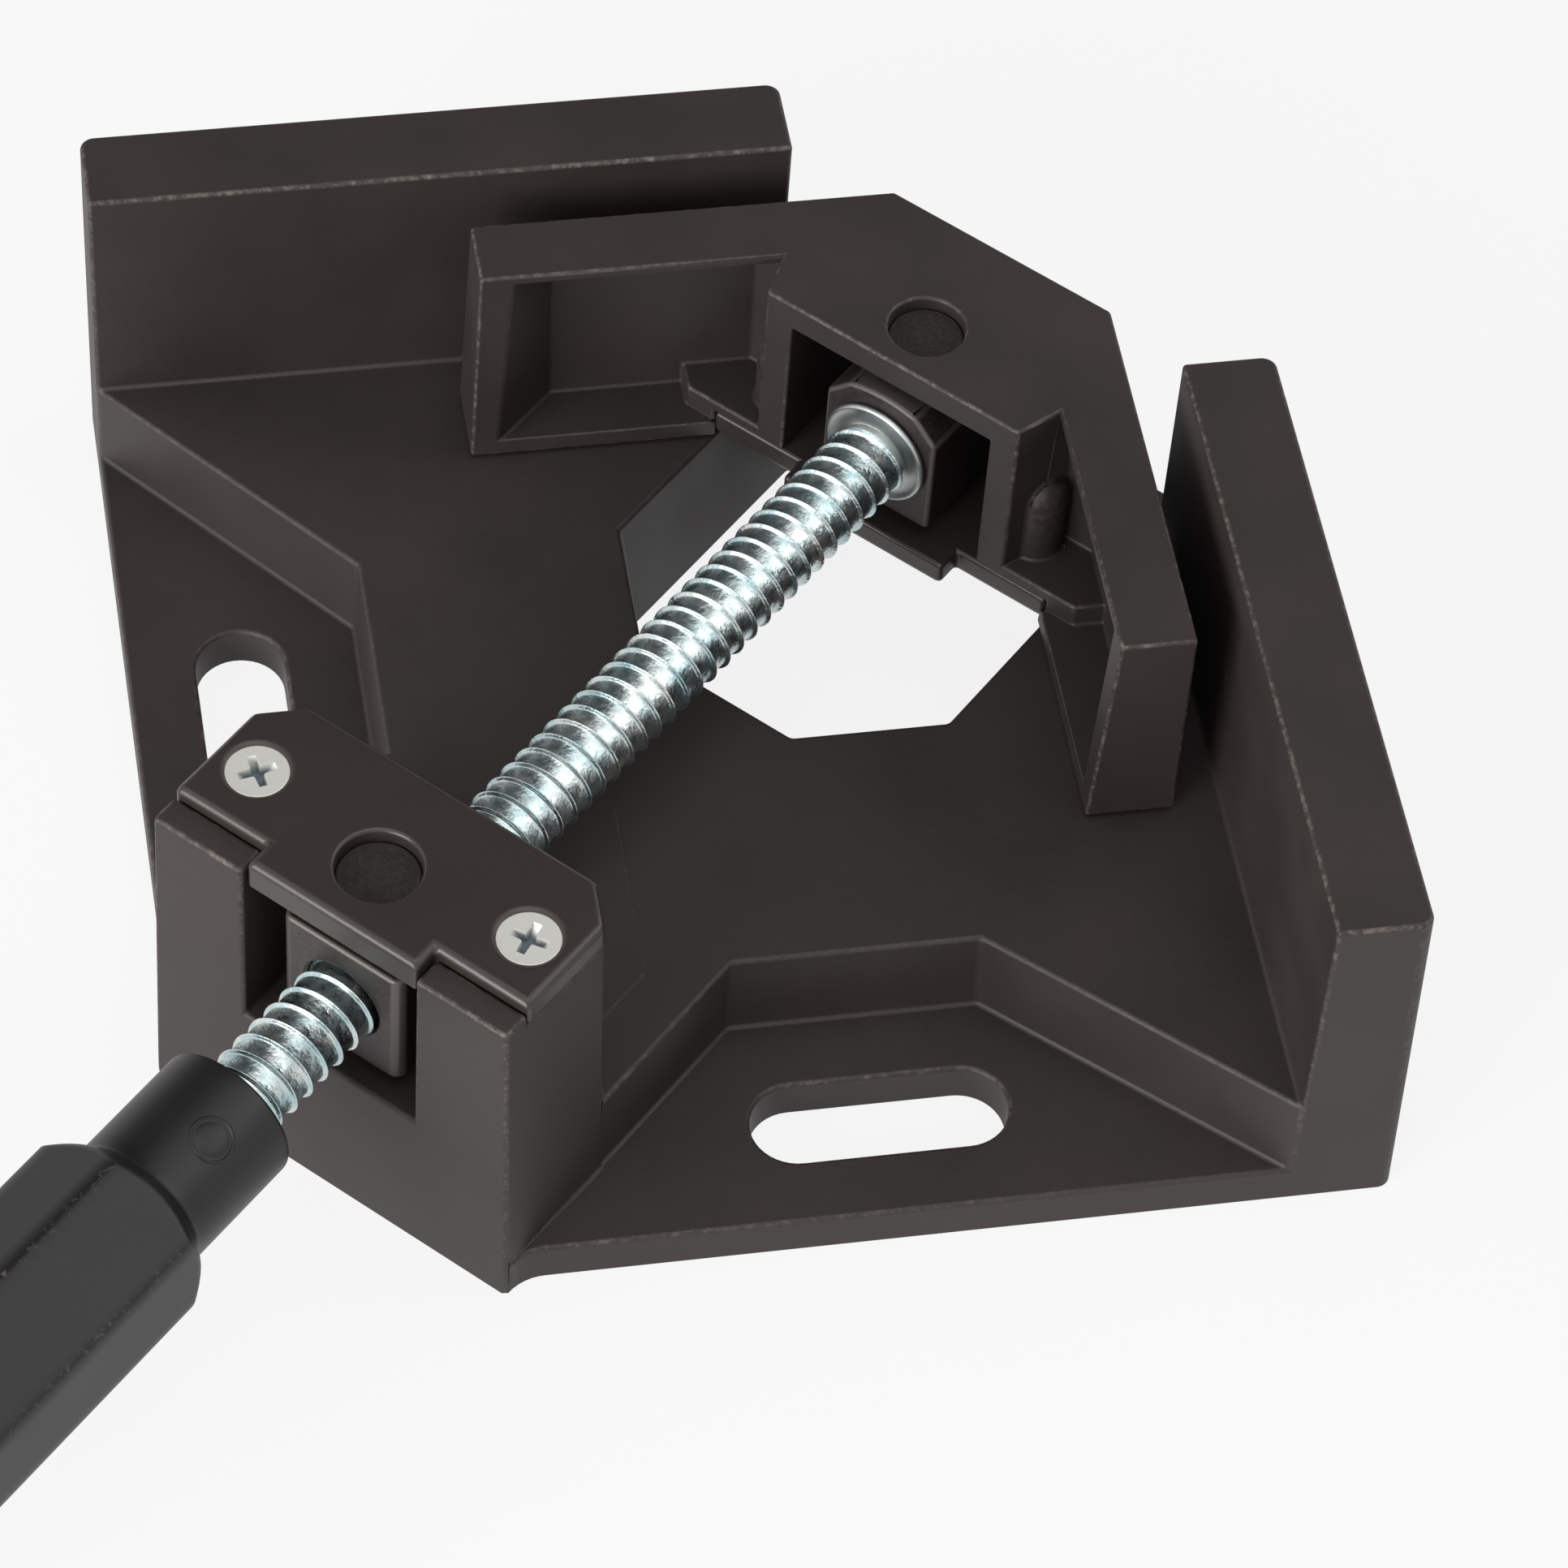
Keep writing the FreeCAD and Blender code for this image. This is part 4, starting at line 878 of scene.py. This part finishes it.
def handle_outline():
    """The handle's outline as (x, radius), from the bore over collar and shoulder to the end."""
    # The bore and its chamfer, then the collar's rounded rim and its straight side.
    yield from [(HANDLE_RIM - BORE_SHOWN, BORE), (HANDLE_RIM - BORE_CHAMFER, BORE),
                (HANDLE_RIM, BORE + BORE_CHAMFER), (HANDLE_RIM, COLLAR_RADIUS - COLLAR_ROUND)]
    for a in np.linspace(0.3, math.pi / 2, 5):
        yield (HANDLE_RIM - COLLAR_ROUND + COLLAR_ROUND * math.cos(a),
               COLLAR_RADIUS - COLLAR_ROUND + COLLAR_ROUND * math.sin(a))
    for x in np.linspace(HANDLE_RIM - 0.002, SHOULDER + 0.0012, 14):
        yield x, COLLAR_RADIUS
    # The moulded blend, and the cone that rises from it to the grip.
    for ahead, rise in BLEND:
        yield SHOULDER + ahead, COLLAR_RADIUS + rise
    for x in np.linspace(SHOULDER - 0.0006, SHOULDER - 0.008, 24):
        cone = COLLAR_RADIUS + BLEND[-1][1] + (SHOULDER + BLEND[-1][0] - x) * CONE_SLOPE
        yield x, min(cone, GRIP_TURNED)
    # The grip, which the six flats cut, then its end cone and the round to the end.
    for x in np.linspace(SHOULDER - 0.010, GRIP_END + 0.008, 30):
        yield x, GRIP_TURNED
    for x in np.linspace(GRIP_END + 0.0048, GRIP_END + 0.0007, 10):
        yield x, GRIP_TURNED - (GRIP_END + END_CONE - x)
    for a in np.linspace(math.pi / 4, 0.0, 7):
        yield GRIP_END + END_ROUND * (1 - math.cos(a)), END_FLAT + END_ROUND * math.sin(a)
    yield GRIP_END, 0.0


def blended_less(first, second, softness):
    """The smaller of two lengths, rounded where they meet."""
    gap = np.clip(0.5 + 0.5 * (second - first) / softness, 0, 1)
    return second * (1 - gap) + first * gap - softness * gap * (1 - gap)


def handle_mesh(name):
    """The handle: at each place the smaller of its turned outline and its six flats."""
    around = np.arange(HANDLE_STEPS) * math.tau / HANDLE_STEPS
    from_flat = (around - math.pi / 2) % (math.pi / 3) - math.pi / 6
    flats = GRIP_APOTHEM / np.cos(from_flat)
    corner = np.exp(-((np.pi / 6 - np.abs(from_flat)) / WORN_WIDTH) ** 2)
    rings, worn = [], []
    for x, radius in handle_outline():
        if radius:
            reach = blended_less(np.full(HANDLE_STEPS, radius), flats, GRIP_SOFTNESS)
            rings.append([(x, r * math.cos(a), r * math.sin(a)) for r, a in zip(reach, around)])
        else:
            rings.append([(x, 0, 0)])
        worn.append(corner if WORN_START > x > WORN_END else np.zeros(len(rings[-1])))
    mesh = skinned(name, rings)
    mark(mesh, "worn", np.concatenate(worn))
    return on_screw(mesh, HANDLE_CORNER)


handle = put("handle_moulding", handle_mesh("handle_moulding"))
handle.data.materials.append(moulded)
fit(handle, "screw", "handle", "handle_grip")

# Handle pin. A steel pin pressed through collar and screw and blackened with the handle, so that
# only its round ends show, each in a fine groove with a raised lip of plastic round it.

PIN_PLACE = HANDLE_RIM - 0.0089
PIN_TILT = math.radians(30)
PIN_STEPS = 40
PIN_END = [(0.0, 0.00012), (0.0012, 0.00011), (0.0021, 0.00005), (0.00238, -0.00005),
           (0.0025, -0.00016), (0.0026, -0.00004), (0.0027, 0.0002), (0.0029, 0.00021),
           (0.0030, 0.00008), (0.0031, -0.00015)]


def pin_ring(radius, proud, side):
    """One ring of an end of the pin, laid on the round collar and standing proud of it."""
    ring = []
    for step in range(PIN_STEPS if radius else 1):
        along = radius * math.cos(math.tau * step / PIN_STEPS)
        across = radius * math.sin(math.tau * step / PIN_STEPS)
        out = math.sqrt(COLLAR_RADIUS ** 2 - across ** 2) + proud
        ring.append((PIN_PLACE + along, across, side * out))
    return ring


pin_rings = [pin_ring(radius, proud, 1) for radius, proud in PIN_END]
pin_rings += [pin_ring(radius, proud, -1) for radius, proud in reversed(PIN_END)]
pin = put("handle_pin_ends", on_screw(skinned("handle_pin_ends", pin_rings), tilt=PIN_TILT))
pin.data.materials.append(moulded)
fit(pin, "screw", "pin", "handle_pin")
